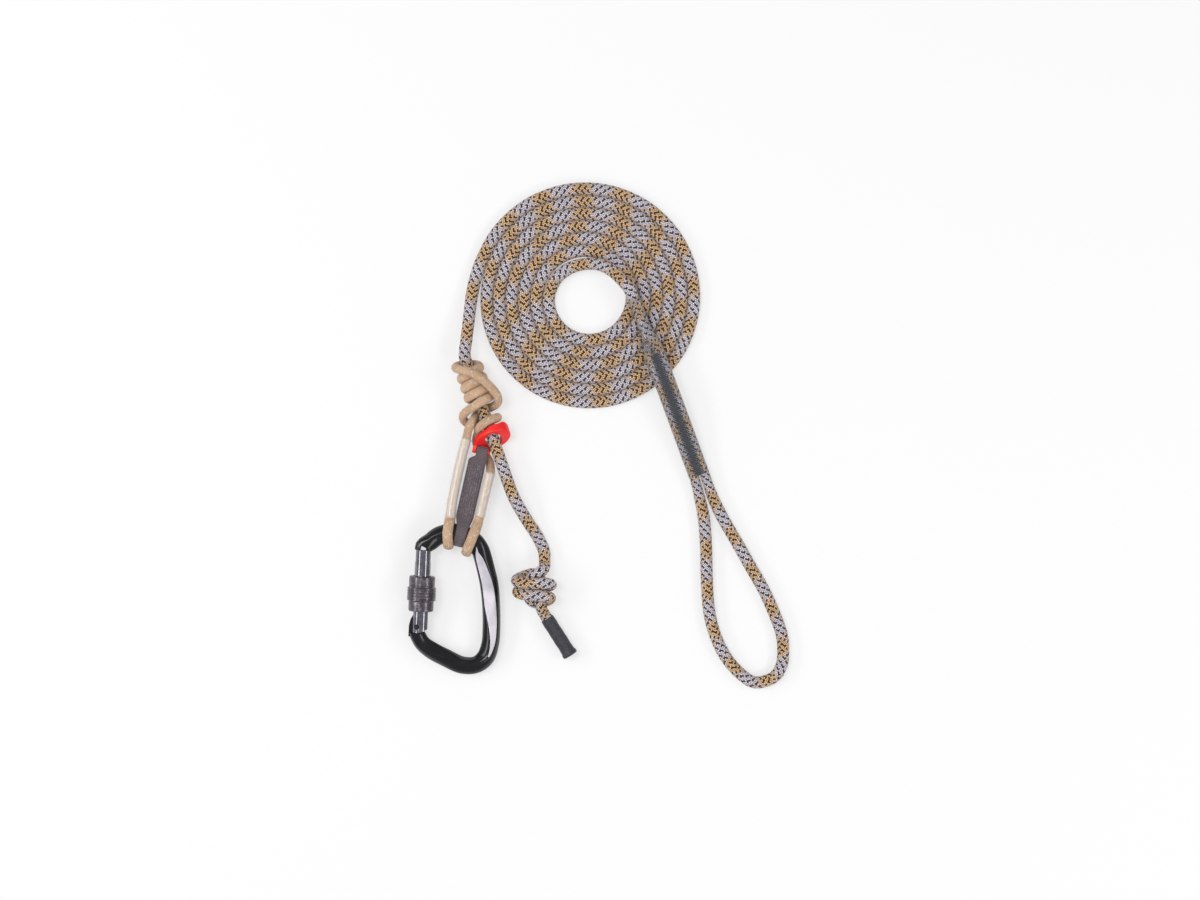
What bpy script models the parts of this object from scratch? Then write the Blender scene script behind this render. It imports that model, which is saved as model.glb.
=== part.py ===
# Tree tether: coiled braided rope with a sewn eye, sliding friction hitch, tending ring
# and screw-lock carabiner, lying flat. Metres, +Z up, the rope running along Y.

import math

import bmesh
import bpy
import numpy as np
from mathutils import Matrix, Vector

MM = 0.001
CLEARANCE = 0.0003

# Main rope
ROPE_DIAMETER = 0.0080
ROPE_SEWN_DIAMETER = 0.0065
COIL_CENTRE = (0.0878, 0.1512)
COIL_OUTER_RADIUS = 0.0774
COIL_PITCH = 0.0085
COIL_START_DEGREES = 20
COIL_LOOPS = 5.96
COIL_POINTS_PER_LOOP = 24
COIL_HEIGHT = 0.00352
ROPE_REST_HEIGHT = 0.00405
ROPE_AXIS_HEIGHT = 0.0106
ROPE_AXIS_START = (0.00445, 0.1103)
ROPE_AXIS_LEAN_DEGREES = 19.0
ROPE_AXIS_SPLIT = 0.0240
ROPE_AXIS_STRAIGHT_END = 0.0880

# Sewn eye of the rope
SEWN_TOP = (0.1192, 0.1521)
SEWN_LENGTH = 0.1308
SEWN_LEAN_DEGREES = 20.4
SEWN_HEIGHT = 0.01240
SEWN_FOOT_HEIGHT = 0.0050
SEWN_SLOPE_START = 0.0700
SEWN_STRAND_SPACING = 0.0075
TAIL_STRAND_START = 0.0400
EYE_STITCH_START = 0.0420
EYE_STITCH_WIDTH = 0.0065
EYE_STITCH_THICKNESS = 0.0006
EYE_SLEEVE_WALL = 0.00035

# Stopper knot and tail
KNOT_CENTRE = (0.0517, -0.0473, 0.0115)
KNOT_SIZE = 0.93
KNOT_CORD_DIAMETER = 0.0058
TAIL_END = (0.0764, -0.0933, 0.0053)
END_SLEEVE_WALL = 0.0004
END_SLEEVE_LIP = 0.0005
END_SLEEVE_START = 0.0015

# Hitch cord and its two sewn legs
HITCH_CORD_DIAMETER = 0.0059
WRAP_RADIUS = 0.00735
WRAP_PITCH = 0.00695
WRAP_POINTS_PER_LOOP = 24
WRAP_FIRST_DEGREES = -285
WRAP_LAST_DEGREES = -1440
WRAP_START = 0.0098
LEG_CORD_DIAMETER = 0.0056
EYE_CORD_DIAMETER = 0.0050
LEG_STRAND_SPACING = 0.0065
LEG_HEIGHT = 0.0106
LEG_SLEEVE_WALL = 0.00035
LEG_STITCH_WEB = 0.0003
LEG_STITCH_FLANGE = 0.0004
LEG_STITCH_HEIGHT = 0.0030
LEG_STITCH_END = 0.0065
EYE_FIT = 0.0005

# Webbing sling and tending ring
SLING_LEAN_DEGREES = 12.7
SLING_LENGTH = 0.0577
WEBBING_WIDTH = 0.0121
WEBBING_THICKNESS = 0.0015
WEBBING_LAYER_GAP = 0.0006
WEBBING_FIT = 0.0008
WEBBING_SIDE = -0.00182
WEBBING_FOLD_WIDTH = 0.0078
WEBBING_FOLD_SIDE = -0.00145
WEBBING_BEND = -0.0460
WEBBING_STITCH_WIDTH = 0.0090
WEBBING_STITCH_THICKNESS = 0.0004
TENDER_BAR_CENTRE = (0.0161, 0.0464, 0.0105)
TENDER_BAR_DIAMETER = 0.0030
TENDER_BAR_HALF_LENGTH = 0.0055
TENDER_CHEEK_THICKNESS = 0.0014
LEFT_CHEEK_EXTRA = 0.0012
LEFT_CHEEK_HEAD = (0.0052, -0.0006)
LEFT_CHEEK_RADIUS = 0.0024
RIGHT_CHEEK_HEAD = (0.0052, -0.0068)
RIGHT_CHEEK_RADIUS = 0.0013
TENDER_RING_PLACE = 0.0578
TENDER_RING_TILT_DEGREES = 33.0
TENDER_RING_TURN_DEGREES = 9.5
TENDER_RING_HALF_LENGTH = 0.0131
TENDER_RING_HALF_WIDTH = 0.0108
TENDER_RING_THICKNESS = 0.0045
TENDER_RING_EDGE = 0.0007
TENDER_HOLE_SIDE_FIT = 0.0017
TENDER_HOLE_TILT_FIT = 0.0018
TENDER_GROOVE_FIT = 0.0011

# Carabiner, in its own frame: origin at the centre of the arch, Z across the flat
CARABINER_PLACE = (-0.0041, -0.0298, 0.01043)
CARABINER_PITCH_DEGREES = 3.0
CARABINER_ROLL_DEGREES = 2.5
ARCH_RADIUS = 0.0208
BAR_WIDTH = 0.0125
BAR_THICKNESS = 0.0104
ARCH_START_DEGREES = 12
ARCH_END_DEGREES = 135
PIN_PLACE = (-0.0247, -0.0435)
PIN_DIAMETER = 0.0030
PIN_HOLE_FIT = 0.0003
GATE_LEAN_DEGREES = 2.75
GATE_DIAMETER = 0.0110
GATE_OFFSET = 0.0023
GATE_BELOW_PIN = 0.0041
GATE_ABOVE_PIN = 0.0524
GATE_OPEN_DEGREES = 24.0
NOSE_GAP = 0.0004
NOSE_DEPTH = 0.0022
NOSE_WIDTH = 0.0120
TONGUE_THICKNESS = 0.0034
TONGUE_WIDTH = 0.0070
TONGUE_LENGTH = 0.0075
TANG_THICKNESS = 0.0036
TANG_CAM_RADIUS = 0.0056
TANG_CAM_DEGREES = 55.0
TANG_SLOT_TOP = 0.0105
TANG_FLANK = [(4.3, 1.2), (4.0, -2.6), (4.4, -7.0)]
HEEL_CORNER = 0.0016
SLOT_FIT = 0.0003
SPRING_BORE = 0.0060
SPRING_BORE_FOOT = 0.0030
SPRING_BORE_TOP = 0.0300
SPRING_WIRE = 0.0007
SPRING_TURNS = 7
PLUNGER_DIAMETER = 0.0050
PLUNGER_LENGTH = 0.0076
SLEEVE_PLACE = 0.0106
SLEEVE_LENGTH = 0.0240
SLEEVE_TOP_COLLAR = 0.0074
SLEEVE_LOW_COLLAR = 0.0070
SLEEVE_TOP_WALL = 0.0028
SLEEVE_GRIP_WALL = 0.00375
SLEEVE_LOW_WALL = 0.0025
SLEEVE_BEVEL = 0.0006
SLEEVE_BORE_FIT = 0.0006
RING_GROOVE_DEPTH = 0.0011
RING_GROOVE_HEIGHT = 0.0020
RING_GROOVE_PLACE = 0.0160
FRICTION_RING_FIT = 0.0002

# Routes chosen by hand, in millimetres
TOP_ROUTE = [(9.6, 158.0, 4.2), (8.0, 147.5, 5.6), (6.6, 134.9, 7.6), (5.2, 122.6, 9.4)]
BOTTOM_ROUTE = [
    (37.3, 15.8, 9.6), (42.1, 6.5, 7.6), (47.3, -2.1, 5.6), (52.4, -9.9, 4.4),
    (56.5, -17.5, 4.2), (58.3, -22.6, 4.7),
]
RISER_ROUTE = [
    (66.9, 165.2, 4.2), (74.7, 171.3, 5.0), (84.9, 174.5, 6.6), (95.2, 174.3, 8.6),
    (104.1, 170.2, 10.3), (111.3, 163.7, 11.6), (116.3, 157.6, 12.1),
]
EYE_ROUTE = [
    (173.3, 16.6), (179.5, 3.0), (188.6, -12.9), (198.9, -31.1), (209.7, -50.4),
    (217.1, -67.4), (221.3, -79.9), (222.2, -89.6), (221.1, -100.4), (216.5, -107.8),
    (209.1, -111.4), (201.2, -111.7), (192.1, -105.5), (183.6, -95.8), (176.7, -82.7),
    (172.9, -70.8), (170.7, -57.2), (169.7, -36.8), (169.3, -19.7), (167.9, -0.4),
    (164.4, 16.6),
]
# Knot points are (right, up, out) from the knot's centre, before KNOT_SIZE
KNOT_ROUTE = [
    (7.5, 21.0, -6.6), (7.5, 18.0, -6.2), (7.0, 14.6, -2.9), (4.0, 11.9, 2.0), (-1.2, 8.6, 2.2),
    (-3.9, 3.6, 0.2), (-3.9, -1.0, 0.0), (-3.9, -5.6, -0.8), (-2.0, -9.6, -4.0),
    (2.8, -10.8, -7.4), (8.4, -9.4, -6.4), (11.6, -7.4, -1.4), (9.4, -5.8, 5.2),
    (2.6, -4.8, 8.0), (-4.8, -4.4, 7.6), (-10.8, -3.4, 3.4), (-11.9, -2.0, -2.8),
    (-6.2, -0.6, -7.6), (0.8, 0.2, -8.6), (7.6, 1.0, -7.8), (12.2, 2.4, -1.6),
    (10.2, 3.6, 4.8), (3.6, 4.0, 8.2), (-4.2, 4.0, 7.9), (-10.8, 4.8, 4.6),
    (-13.0, 6.0, -1.6), (-8.8, 8.2, -7.0), (-2.2, 10.2, -9.2), (2.8, 9.4, -6.2),
    (4.4, 5.2, -2.6), (4.2, 1.0, 0.2), (3.9, -3.8, 0.4), (4.0, -9.0, 0.6),
    (4.6, -13.2, -1.0), (6.0, -16.8, -3.2), (7.6, -19.6, -4.6),
]
# Hitch points are (along the rope axis, right of it, above it)
HITCH_OVER_ROUTE = [
    (51.5, -16.3, 3.25), (47.8, -14.2, 4.2), (44.8, -11.6, 4.0), (42.4, -9.0, 2.0),
    (40.9, -7.4, -2.0), (38.6, -4.6, -6.2), (37.8, 0.2, -7.5), (37.6, 5.0, -5.8),
    (37.2, 8.8, -1.8), (35.6, 11.6, 2.6), (32.0, 12.4, 6.8), (27.5, 11.3, 9.6),
]
# (along the axis, degrees round it from the front, distance from it)
HITCH_TOP_ROUTE = [
    (22.5, 40, 14.1), (17.3, 25, 14.1), (12.6, 9, 14.1), (9.0, -8, 13.8),
    (6.2, -35, 11.6), (4.4, -68, 9.0), (3.6, -100, 7.6), (3.5, -140, 7.35),
    (4.6, -180, 7.35), (6.4, -218, 7.35), (8.2, -252, 7.35),
]
HITCH_UNDER_ROUTE = [
    (33.4, -4.2, 6.4), (34.4, -8.8, 4.0), (36.0, -13.1, 0.6), (38.6, -15.0, -2.4),
    (42.2, -13.8, -5.2), (44.6, -9.8, -7.2), (45.8, -4.6, -7.5), (46.0, 0.6, -7.5),
    (46.0, 5.4, -5.4), (45.8, 7.7, -0.6), (45.6, 6.4, 4.2), (45.8, 2.0, 7.4),
    (47.0, -3.4, 7.0), (49.2, -7.2, 2.7), (51.6, -8.7, -2.2), (54.4, -10.9, -6.0),
    (58.5, -11.9, -7.3), (63.0, -10.9, -7.4), (68.0, -8.8, -7.2), (73.5, -7.6, -6.2),
    (78.5, -8.9, -3.3),
]
# Straight groove in the tending ring for the cord that passes it, in the same terms
GROOVE_START = (52.0, -11.6, -6.6)
GROOVE_END = (74.0, -8.6, -7.3)
# Legs in plan, from the carabiner's bar up, with the way each eye's tip points
LEFT_LEG_ROUTE = [(-7.2, -9.2), (-5.8, 0.7), (-4.5, 11.3), (1.6, 40.8), (5.7, 56.5)]
RIGHT_LEG_ROUTE = [(9.04, -13.7), (14.1, 0.7), (16.55, 11.3), (20.8, 29.0), (22.0, 33.6)]
LEFT_TIP_WAY = (0.028, -1.0)
RIGHT_TIP_WAY = (-0.387, -0.922)
# From each eye's end to its shrink sleeve, in millimetres
LEFT_SLEEVE_GAP = 1.15
RIGHT_SLEEVE_GAP = 7.15

# Carabiner centreline round the spine: (x, y, width, squareness) in millimetres
HINGE_END = (-24.8, -48.0, 11.0, 2.6)
BODY_ROUTE = [
    (-20.9, -55.0, 11.2, 2.4), (-14.7, -60.0, 12.0, 2.2), (-5.0, -65.2, 12.2, 2.2),
    (6.4, -70.3, 12.0, 2.2), (16.0, -70.0, 11.8, 2.2), (22.3, -65.0, 12.4, 2.3),
    (25.5, -56.0, 12.2, 2.4), (26.4, -45.0, 12.3, 2.5), (26.2, -30.0, 12.4, 2.5),
    (24.9, -15.2, 12.8, 2.3), (22.6, -4.5, 12.6, 2.1),
]
# Tang outline from the pin, clockwise from its foot on the outer side
TANG_OUTLINE = [(-5.4, -7.0), (-5.4, 0.5), (-4.4, 5.0), (-2.6, 8.2), (-0.8, 8.2)]

BODY_SECTION_POINTS = 14

# Turns a plate drawn in XY so that its X runs to +Y and its Y runs to +Z
CHEEK_TURN = Matrix(((0, 0, 1, 0), (1, 0, 0, 0), (0, 1, 0, 0), (0, 0, 0, 1)))


def clear_scene():
    for item in list(bpy.data.objects):
        bpy.data.objects.remove(item, do_unlink=True)


def new_collection(name):
    collection = bpy.data.collections.new(name)
    bpy.context.scene.collection.children.link(collection)
    return collection


def make_material(name, color, roughness, metallic=0.0):
    material = bpy.data.materials.new(name)
    material.use_nodes = True
    shader = material.node_tree.nodes["Principled BSDF"]
    shader.inputs["Base Color"].default_value = (*color, 1.0)
    shader.inputs["Roughness"].default_value = roughness
    shader.inputs["Metallic"].default_value = metallic
    material.diffuse_color = (*color, 1.0)
    return material


def make_empty(name, parent, location=(0, 0, 0), rotation=(0, 0, 0)):
    empty = bpy.data.objects.new(name, None)
    empty.location = location
    empty.rotation_euler = rotation
    empty.parent = parent
    PART.objects.link(empty)
    return empty


def add_object(name, data, parent, material=None, collection=None):
    item = bpy.data.objects.new(name, data)
    item.parent = parent
    (collection or PART).objects.link(item)
    if material:
        data.materials.append(material)
    return item


def hide_cutter(item):
    item.hide_render = True
    item.display_type = "WIRE"
    return item


def mesh_from(builder, name):
    mesh = bmesh.new()
    builder(mesh)
    bmesh.ops.recalc_face_normals(mesh, faces=mesh.faces)
    data = bpy.data.meshes.new(name)
    mesh.to_mesh(data)
    mesh.free()
    return data


def box_data(name, low, high):
    size = Vector(high) - Vector(low)
    middle = (Vector(high) + Vector(low)) / 2
    matrix = Matrix.Translation(middle) @ Matrix.Diagonal((*size, 1.0))
    return mesh_from(lambda mesh: bmesh.ops.create_cube(mesh, size=1.0, matrix=matrix), name)


def cylinder_data(name, radius, start, end, sides=24):
    axis = Vector(end) - Vector(start)
    turn = axis.to_track_quat("Z", "Y").to_matrix().to_4x4()
    matrix = Matrix.Translation((Vector(start) + Vector(end)) / 2) @ turn
    return mesh_from(
        lambda mesh: bmesh.ops.create_cone(
            mesh, cap_ends=True, segments=sides, radius1=radius, radius2=radius,
            depth=axis.length, matrix=matrix),
        name)


def loft_data(name, rings, capped=True, closed=False):
    # Skin over rings of equal point count, each a list of positions
    def build(mesh):
        rows = [[mesh.verts.new(point) for point in ring] for ring in rings]
        count = len(rows[0])
        pairs = list(zip(rows, rows[1:]))
        if closed:
            pairs.append((rows[-1], rows[0]))
        for low, high in pairs:
            for i in range(count):
                j = (i + 1) % count
                mesh.faces.new((low[i], low[j], high[j], high[i]))
        if capped:
            mesh.faces.new(rows[0])
            mesh.faces.new(rows[-1])
    return mesh_from(build, name)


def shade(item, degrees=40):
    item.data.shade_smooth()
    item.data.set_sharp_from_angle(angle=math.radians(degrees))


def boolean(item, cutter, operation="DIFFERENCE"):
    step = item.modifiers.new(operation.title() + " " + cutter.name, "BOOLEAN")
    step.operation = operation
    step.object = cutter
    step.solver = "EXACT"
    return step


def cut(item, name, data):
    cutter = hide_cutter(add_object(name, data, item.parent, collection=CUTTERS))
    boolean(item, cutter)


def join(item, name, data):
    piece = hide_cutter(add_object(name, data, item.parent, collection=CUTTERS))
    boolean(item, piece, "UNION")


def turned(name, profile, steps, parent, material, location, rotation):
    # Profile of (radius, height) points; a closed ring runs down its outer side first
    points = [(radius, 0.0, height) for radius, height in profile]
    edges = [(i, (i + 1) % len(points)) for i in range(len(points))]
    data = bpy.data.meshes.new(name)
    data.from_pydata(points, edges, [])
    item = add_object(name, data, parent, material)
    item.location = location
    item.rotation_euler = rotation
    screw = item.modifiers.new("Turn", "SCREW")
    screw.steps = steps
    screw.render_steps = steps
    screw.use_merge_vertices = True
    screw.merge_threshold = 0.00001
    screw.use_smooth_shade = True
    return item


def plate_data(name, outline, thickness, edge=0.0, hole=None):
    # Flat outline in XY given a thickness, its edges rounded by edge
    curve = bpy.data.curves.new(name, "CURVE")
    curve.dimensions = "2D"
    curve.fill_mode = "BOTH"
    curve.extrude = thickness / 2 - edge
    curve.bevel_depth = edge
    curve.bevel_resolution = 0
    curve.offset = -edge
    for loop in [outline] + ([hole] if hole else []):
        spline = curve.splines.new("POLY")
        spline.points.add(len(loop) - 1)
        for point, place in zip(spline.points, loop):
            point.co = (place[0], place[1], 0.0, 1.0)
        spline.use_cyclic_u = True
    item = bpy.data.objects.new(name, curve)
    PART.objects.link(item)
    data = mesh_of_curve(item)
    data.name = name
    return data


def mesh_of_curve(item):
    bpy.context.view_layer.update()
    graph = bpy.context.evaluated_depsgraph_get()
    data = bpy.data.meshes.new_from_object(item.evaluated_get(graph))
    mesh = bmesh.new()
    mesh.from_mesh(data)
    bmesh.ops.remove_doubles(mesh, verts=mesh.verts, dist=0.000001)
    bmesh.ops.recalc_face_normals(mesh, faces=mesh.faces)
    mesh.to_mesh(data)
    mesh.free()
    bpy.data.objects.remove(item, do_unlink=True)
    return data


def tube(name, points, diameter, material, parent, sides=8, scales=None):
    # Cord along points; scales gives each point's share of the diameter
    curve = bpy.data.curves.new(name, "CURVE")
    curve.dimensions = "3D"
    curve.twist_mode = "MINIMUM"
    curve.bevel_depth = diameter / 2
    curve.bevel_resolution = sides // 2 - 2
    curve.use_fill_caps = True
    spline = curve.splines.new("POLY")
    spline.points.add(len(points) - 1)
    for i, point in enumerate(points):
        spline.points[i].co = (*point, 1.0)
        spline.points[i].radius = scales[i] if scales else 1.0
    spline.use_smooth = True
    return add_object(name, curve, parent, material)


def smooth_route(points, spacing):
    # Centripetal curve through the points, read again at even steps
    places = np.array([tuple(point) for point in points], dtype=float)
    places = np.vstack([2 * places[0] - places[1], places, 2 * places[-1] - places[-2]])
    steps = np.sqrt(np.linalg.norm(np.diff(places, axis=0), axis=1))
    knots = np.concatenate([[0.0], np.cumsum(steps)])
    fine = []
    for i in range(1, len(places) - 2):
        for t in np.linspace(knots[i], knots[i + 1], 12, endpoint=False):
            fine.append(curve_point(places[i - 1:i + 3], knots[i - 1:i + 3], t))
    fine.append(places[-2])
    fine = np.array(fine)
    runs = np.linalg.norm(np.diff(fine, axis=0), axis=1)
    along = np.concatenate([[0.0], np.cumsum(runs)])
    count = max(2, round(along[-1] / spacing) + 1)
    wanted = np.linspace(0.0, along[-1], count)
    columns = [np.interp(wanted, along, fine[:, axis]) for axis in range(fine.shape[1])]
    return [Vector(row) for row in np.array(columns).T]


def curve_point(places, knots, t):
    first = [blend_between(places[i], places[i + 1], knots[i], knots[i + 1], t)
             for i in range(3)]
    second = [blend_between(first[i], first[i + 1], knots[i], knots[i + 2], t)
              for i in range(2)]
    return blend_between(second[0], second[1], knots[1], knots[2], t)


def blend_between(low, high, start, end, t):
    return (low * (end - t) + high * (t - start)) / (end - start)


def from_mm(points):
    return [Vector(point) * MM for point in points]


def ease(value, start, end):
    share = min(1.0, max(0.0, (value - start) / (end - start)))
    return share * share * (3 - 2 * share)


def butted_route(start, start_way, middle, end, end_way, spacing):
    # Smooth route whose two ends run straight, square to what they meet
    lead = spacing / 2
    inner = [start + start_way * lead] + middle + [end - end_way * lead]
    return [start] + smooth_route(inner, spacing) + [end]


def way_between(start, end):
    return (end - start).normalized()


def at_height(point, height):
    return Vector((point.x, point.y, height))


def report_gap(name, points, diameter):
    # Least space between two parts of one tube that lie well apart along it
    places = np.array([tuple(point) for point in points])
    runs = np.linalg.norm(np.diff(places, axis=0), axis=1)
    along = np.concatenate([[0.0], np.cumsum(runs)])
    apart = np.abs(along[:, None] - along[None, :]) > 2.6 * diameter
    spaces = np.linalg.norm(places[:, None] - places[None, :], axis=2)
    least = spaces[apart].min() - diameter
    print(f"{name}: {along[-1]:.3f} m long, {len(places)} points, "
          f"least gap to itself {least * 1000:.2f} mm")


# Places worked out from the driving dimensions

def axis_frame():
    lean = math.radians(ROPE_AXIS_LEAN_DEGREES)
    along = Vector((math.sin(lean), -math.cos(lean), 0.0))
    right = Vector((math.cos(lean), math.sin(lean), 0.0))
    start = Vector((*ROPE_AXIS_START, ROPE_AXIS_HEIGHT))
    return start, along, right


def axis_point(along_mm, right_mm=0.0, above_mm=0.0):
    start, along, right = axis_frame()
    offset = along * along_mm + right * right_mm + Vector((0, 0, above_mm))
    return start + offset * MM


def round_axis(along_mm, degrees, distance_mm):
    angle = math.radians(degrees)
    return axis_point(along_mm, distance_mm * math.sin(angle), distance_mm * math.cos(angle))


def coil_point(degrees):
    radius = COIL_OUTER_RADIUS - COIL_PITCH * degrees / 360
    angle = math.radians(degrees)
    x = COIL_CENTRE[0] - radius * math.cos(angle)
    y = COIL_CENTRE[1] + radius * math.sin(angle)
    return Vector((x, y, COIL_HEIGHT))


def coil_way(degrees):
    angle = math.radians(degrees)
    return Vector((math.sin(angle), math.cos(angle), 0.0))


def coil_points():
    last = COIL_START_DEGREES + 360 * COIL_LOOPS
    count = round(COIL_LOOPS * COIL_POINTS_PER_LOOP)
    angles = np.linspace(COIL_START_DEGREES, last, count + 1)
    points = [coil_point(angle) for angle in angles]
    inward = math.radians(15)
    way = coil_way(last + math.degrees(inward))
    head = points[0] - coil_way(COIL_START_DEGREES) * ROPE_DIAMETER
    return [head] + points + [points[-1] + way * ROPE_DIAMETER]


def build_coil():
    points = coil_points()
    report_gap("rope_coil", points, ROPE_DIAMETER)
    return tube("rope_coil", points, ROPE_DIAMETER, ROPE, ROOT, sides=6)


def build_top_stretch():
    coil = coil_points()
    way = way_between(coil[1], coil[0])
    start = at_height(coil[0] + way * CLEARANCE, ROPE_REST_HEIGHT)
    middle = from_mm(TOP_ROUTE) + [axis_point(-1.0), axis_point(8.0)]
    end = axis_point(ROPE_AXIS_SPLIT / MM)
    along = axis_frame()[1]
    points = butted_route(start, way, middle, end, along, ROPE_DIAMETER * 0.9)
    return tube("rope_top_stretch", points, ROPE_DIAMETER, ROPE, ROOT)


def knot_points():
    centre = Vector(KNOT_CENTRE)
    places = [centre + point * KNOT_SIZE for point in from_mm(KNOT_ROUTE)]
    return smooth_route(places, 0.0027)


def build_bottom_stretch():
    along = axis_frame()[1]
    start = axis_point(ROPE_AXIS_SPLIT / MM) + along * CLEARANCE
    straight = [axis_point(value) for value in (40.0, 56.0, 72.0, ROPE_AXIS_STRAIGHT_END / MM)]
    knot = knot_points()
    way = way_between(knot[0], knot[1])
    end = knot[0] - way * CLEARANCE
    points = butted_route(start, along, straight + from_mm(BOTTOM_ROUTE), end, way,
                          ROPE_DIAMETER * 0.9)
    return tube("rope_bottom_stretch", points, ROPE_DIAMETER, ROPE, ROOT)


def build_knot():
    points = knot_points()
    report_gap("stopper_knot", points, KNOT_CORD_DIAMETER)
    return tube("stopper_knot", points, KNOT_CORD_DIAMETER, ROPE, ROOT)


def build_tail():
    knot = knot_points()
    end = Vector(TAIL_END)
    way = way_between(knot[-2], knot[-1])
    bend = knot[-1] + way * END_SLEEVE_START
    axis = way_between(bend, end)
    start = knot[-1] + way * CLEARANCE
    stop = end - axis * END_SLEEVE_WALL * 3
    points = [start, bend, bend.lerp(stop, 0.5), stop]
    tube("rope_tail", points, ROPE_DIAMETER, ROPE, ROOT)
    foot = bend + axis * END_SLEEVE_START
    length = (end - foot).length
    inner = ROPE_DIAMETER / 2 + CLEARANCE
    outer = inner + END_SLEEVE_WALL
    lip = outer + END_SLEEVE_LIP
    lip_length = ROPE_DIAMETER / 4
    profile = [
        (lip, length), (lip, length - lip_length), (outer, length - lip_length * 1.3),
        (outer, 0.0), (inner, 0.0), (inner, length),
    ]
    item = turned("end_sleeve", profile, 20, ROOT, SHRINK_BLACK, foot, (0, 0, 0))
    item.rotation_mode = "QUATERNION"
    item.rotation_quaternion = axis.to_track_quat("Z", "Y")
    return item


def sewn_way():
    lean = math.radians(SEWN_LEAN_DEGREES)
    along = Vector((math.sin(lean), -math.cos(lean), 0.0))
    right = Vector((math.cos(lean), math.sin(lean), 0.0))
    return along, right


def sewn_point(distance, side=0.0, above=0.0):
    along, right = sewn_way()
    drop = ease(distance, SEWN_SLOPE_START, SEWN_LENGTH)
    height = SEWN_HEIGHT + (SEWN_FOOT_HEIGHT - SEWN_HEIGHT) * drop
    start = Vector((*SEWN_TOP, 0.0))
    return start + along * distance + right * side + Vector((0, 0, height + above))


def main_strand_side(distance):
    return SEWN_STRAND_SPACING / 2 * ease(distance, 0.020, TAIL_STRAND_START)


def strand_scale(distance):
    sewn = ROPE_SEWN_DIAMETER / ROPE_DIAMETER
    squeeze = ease(distance, 0.018, TAIL_STRAND_START - 0.004)
    return 1 + (sewn - 1) * squeeze


def build_rope_eye():
    coil = coil_points()
    way = way_between(coil[-2], coil[-1])
    start = at_height(coil[-1] + way * CLEARANCE, ROPE_REST_HEIGHT)
    riser = from_mm(RISER_ROUTE)
    stations = np.arange(0.004, SEWN_LENGTH + 0.0001, 0.0105)
    down = [sewn_point(s, main_strand_side(s)) for s in stations]
    loop = [Vector((x * MM, y * MM, ROPE_REST_HEIGHT)) for x, y in EYE_ROUTE]
    up = [sewn_point(s, -SEWN_STRAND_SPACING / 2)
          for s in np.linspace(SEWN_LENGTH, TAIL_STRAND_START, 9)]
    along, _ = sewn_way()
    points = butted_route(start, way, riser + down + loop + up[:-1], up[-1], -along,
                          ROPE_DIAMETER * 1.15)
    scales = [eye_scale(point, along) for point in points]
    report_gap("rope_eye", points[12:-1], ROPE_SEWN_DIAMETER)
    return tube("rope_eye", points, ROPE_DIAMETER, ROPE, ROOT, scales=scales)


def eye_scale(point, along):
    distance = (point - Vector((*SEWN_TOP, point.z))).dot(along)
    if distance < SEWN_LENGTH:
        return strand_scale(distance)
    sewn = ROPE_SEWN_DIAMETER / ROPE_DIAMETER
    return sewn + (1 - sewn) * ease(distance, SEWN_LENGTH, SEWN_LENGTH + 0.030)


def build_eye_stitching():
    crown = ROPE_SEWN_DIAMETER / 2 + CLEARANCE
    top = crown + EYE_STITCH_THICKNESS
    web = (SEWN_STRAND_SPACING - ROPE_SEWN_DIAMETER) / 2 - CLEARANCE
    half = EYE_STITCH_WIDTH / 2
    section = [
        (-half, -top), (half, -top), (half, -crown), (web, -crown), (web, crown), (half, crown),
        (half, top), (-half, top), (-half, crown), (-web, crown), (-web, -crown), (-half, -crown),
    ]
    stations = np.linspace(EYE_STITCH_START + 0.002, SEWN_LENGTH - 0.001, 9)
    rings = [[sewn_point(s, side, above) for side, above in section] for s in stations]
    return add_object("eye_stitching", loft_data("eye_stitching", rings), ROOT, THREAD_DARK)


def stadium(half_width, half_height, sides=14):
    # Outline of two half circles and straight sides, long way across either axis
    wide = half_width > half_height
    radius = min(half_width, half_height)
    run = max(half_width, half_height) - radius
    points = []
    for end in (1, -1):
        for i in range(sides // 2):
            angle = math.pi * i / (sides // 2 - 1) - math.pi / 2
            across = end * (run + radius * math.cos(angle))
            along = end * radius * math.sin(angle)
            points.append((across, along) if wide else (-along, across))
    return points


def build_eye_sleeve():
    wall = EYE_SLEEVE_WALL
    rings = []
    for s in np.linspace(0.001, SEWN_LENGTH - 0.0005, 11):
        share = ease(s, 0.016, TAIL_STRAND_START)
        single = ROPE_DIAMETER / 2 + CLEARANCE * 2 + wall / 2
        pair = (SEWN_STRAND_SPACING + ROPE_SEWN_DIAMETER) / 2 + CLEARANCE + wall / 2
        tall = ROPE_SEWN_DIAMETER / 2 + EYE_STITCH_THICKNESS + CLEARANCE * 2.5 + wall / 2
        width = single + 0.00001 + (pair - single) * share
        height = single + (max(tall, single) - single) * share
        rings.append([sewn_point(s, side, above) for side, above in stadium(width, height)])
    return shell("eye_sleeve", rings, wall, SHRINK_CLEAR)


def shell(name, rings, wall, material):
    item = add_object(name, loft_data(name, rings, capped=False), ROOT, material)
    solid = item.modifiers.new("Wall", "SOLIDIFY")
    solid.thickness = wall
    solid.offset = 0.0
    solid.use_even_offset = True
    shade(item)
    return item


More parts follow.
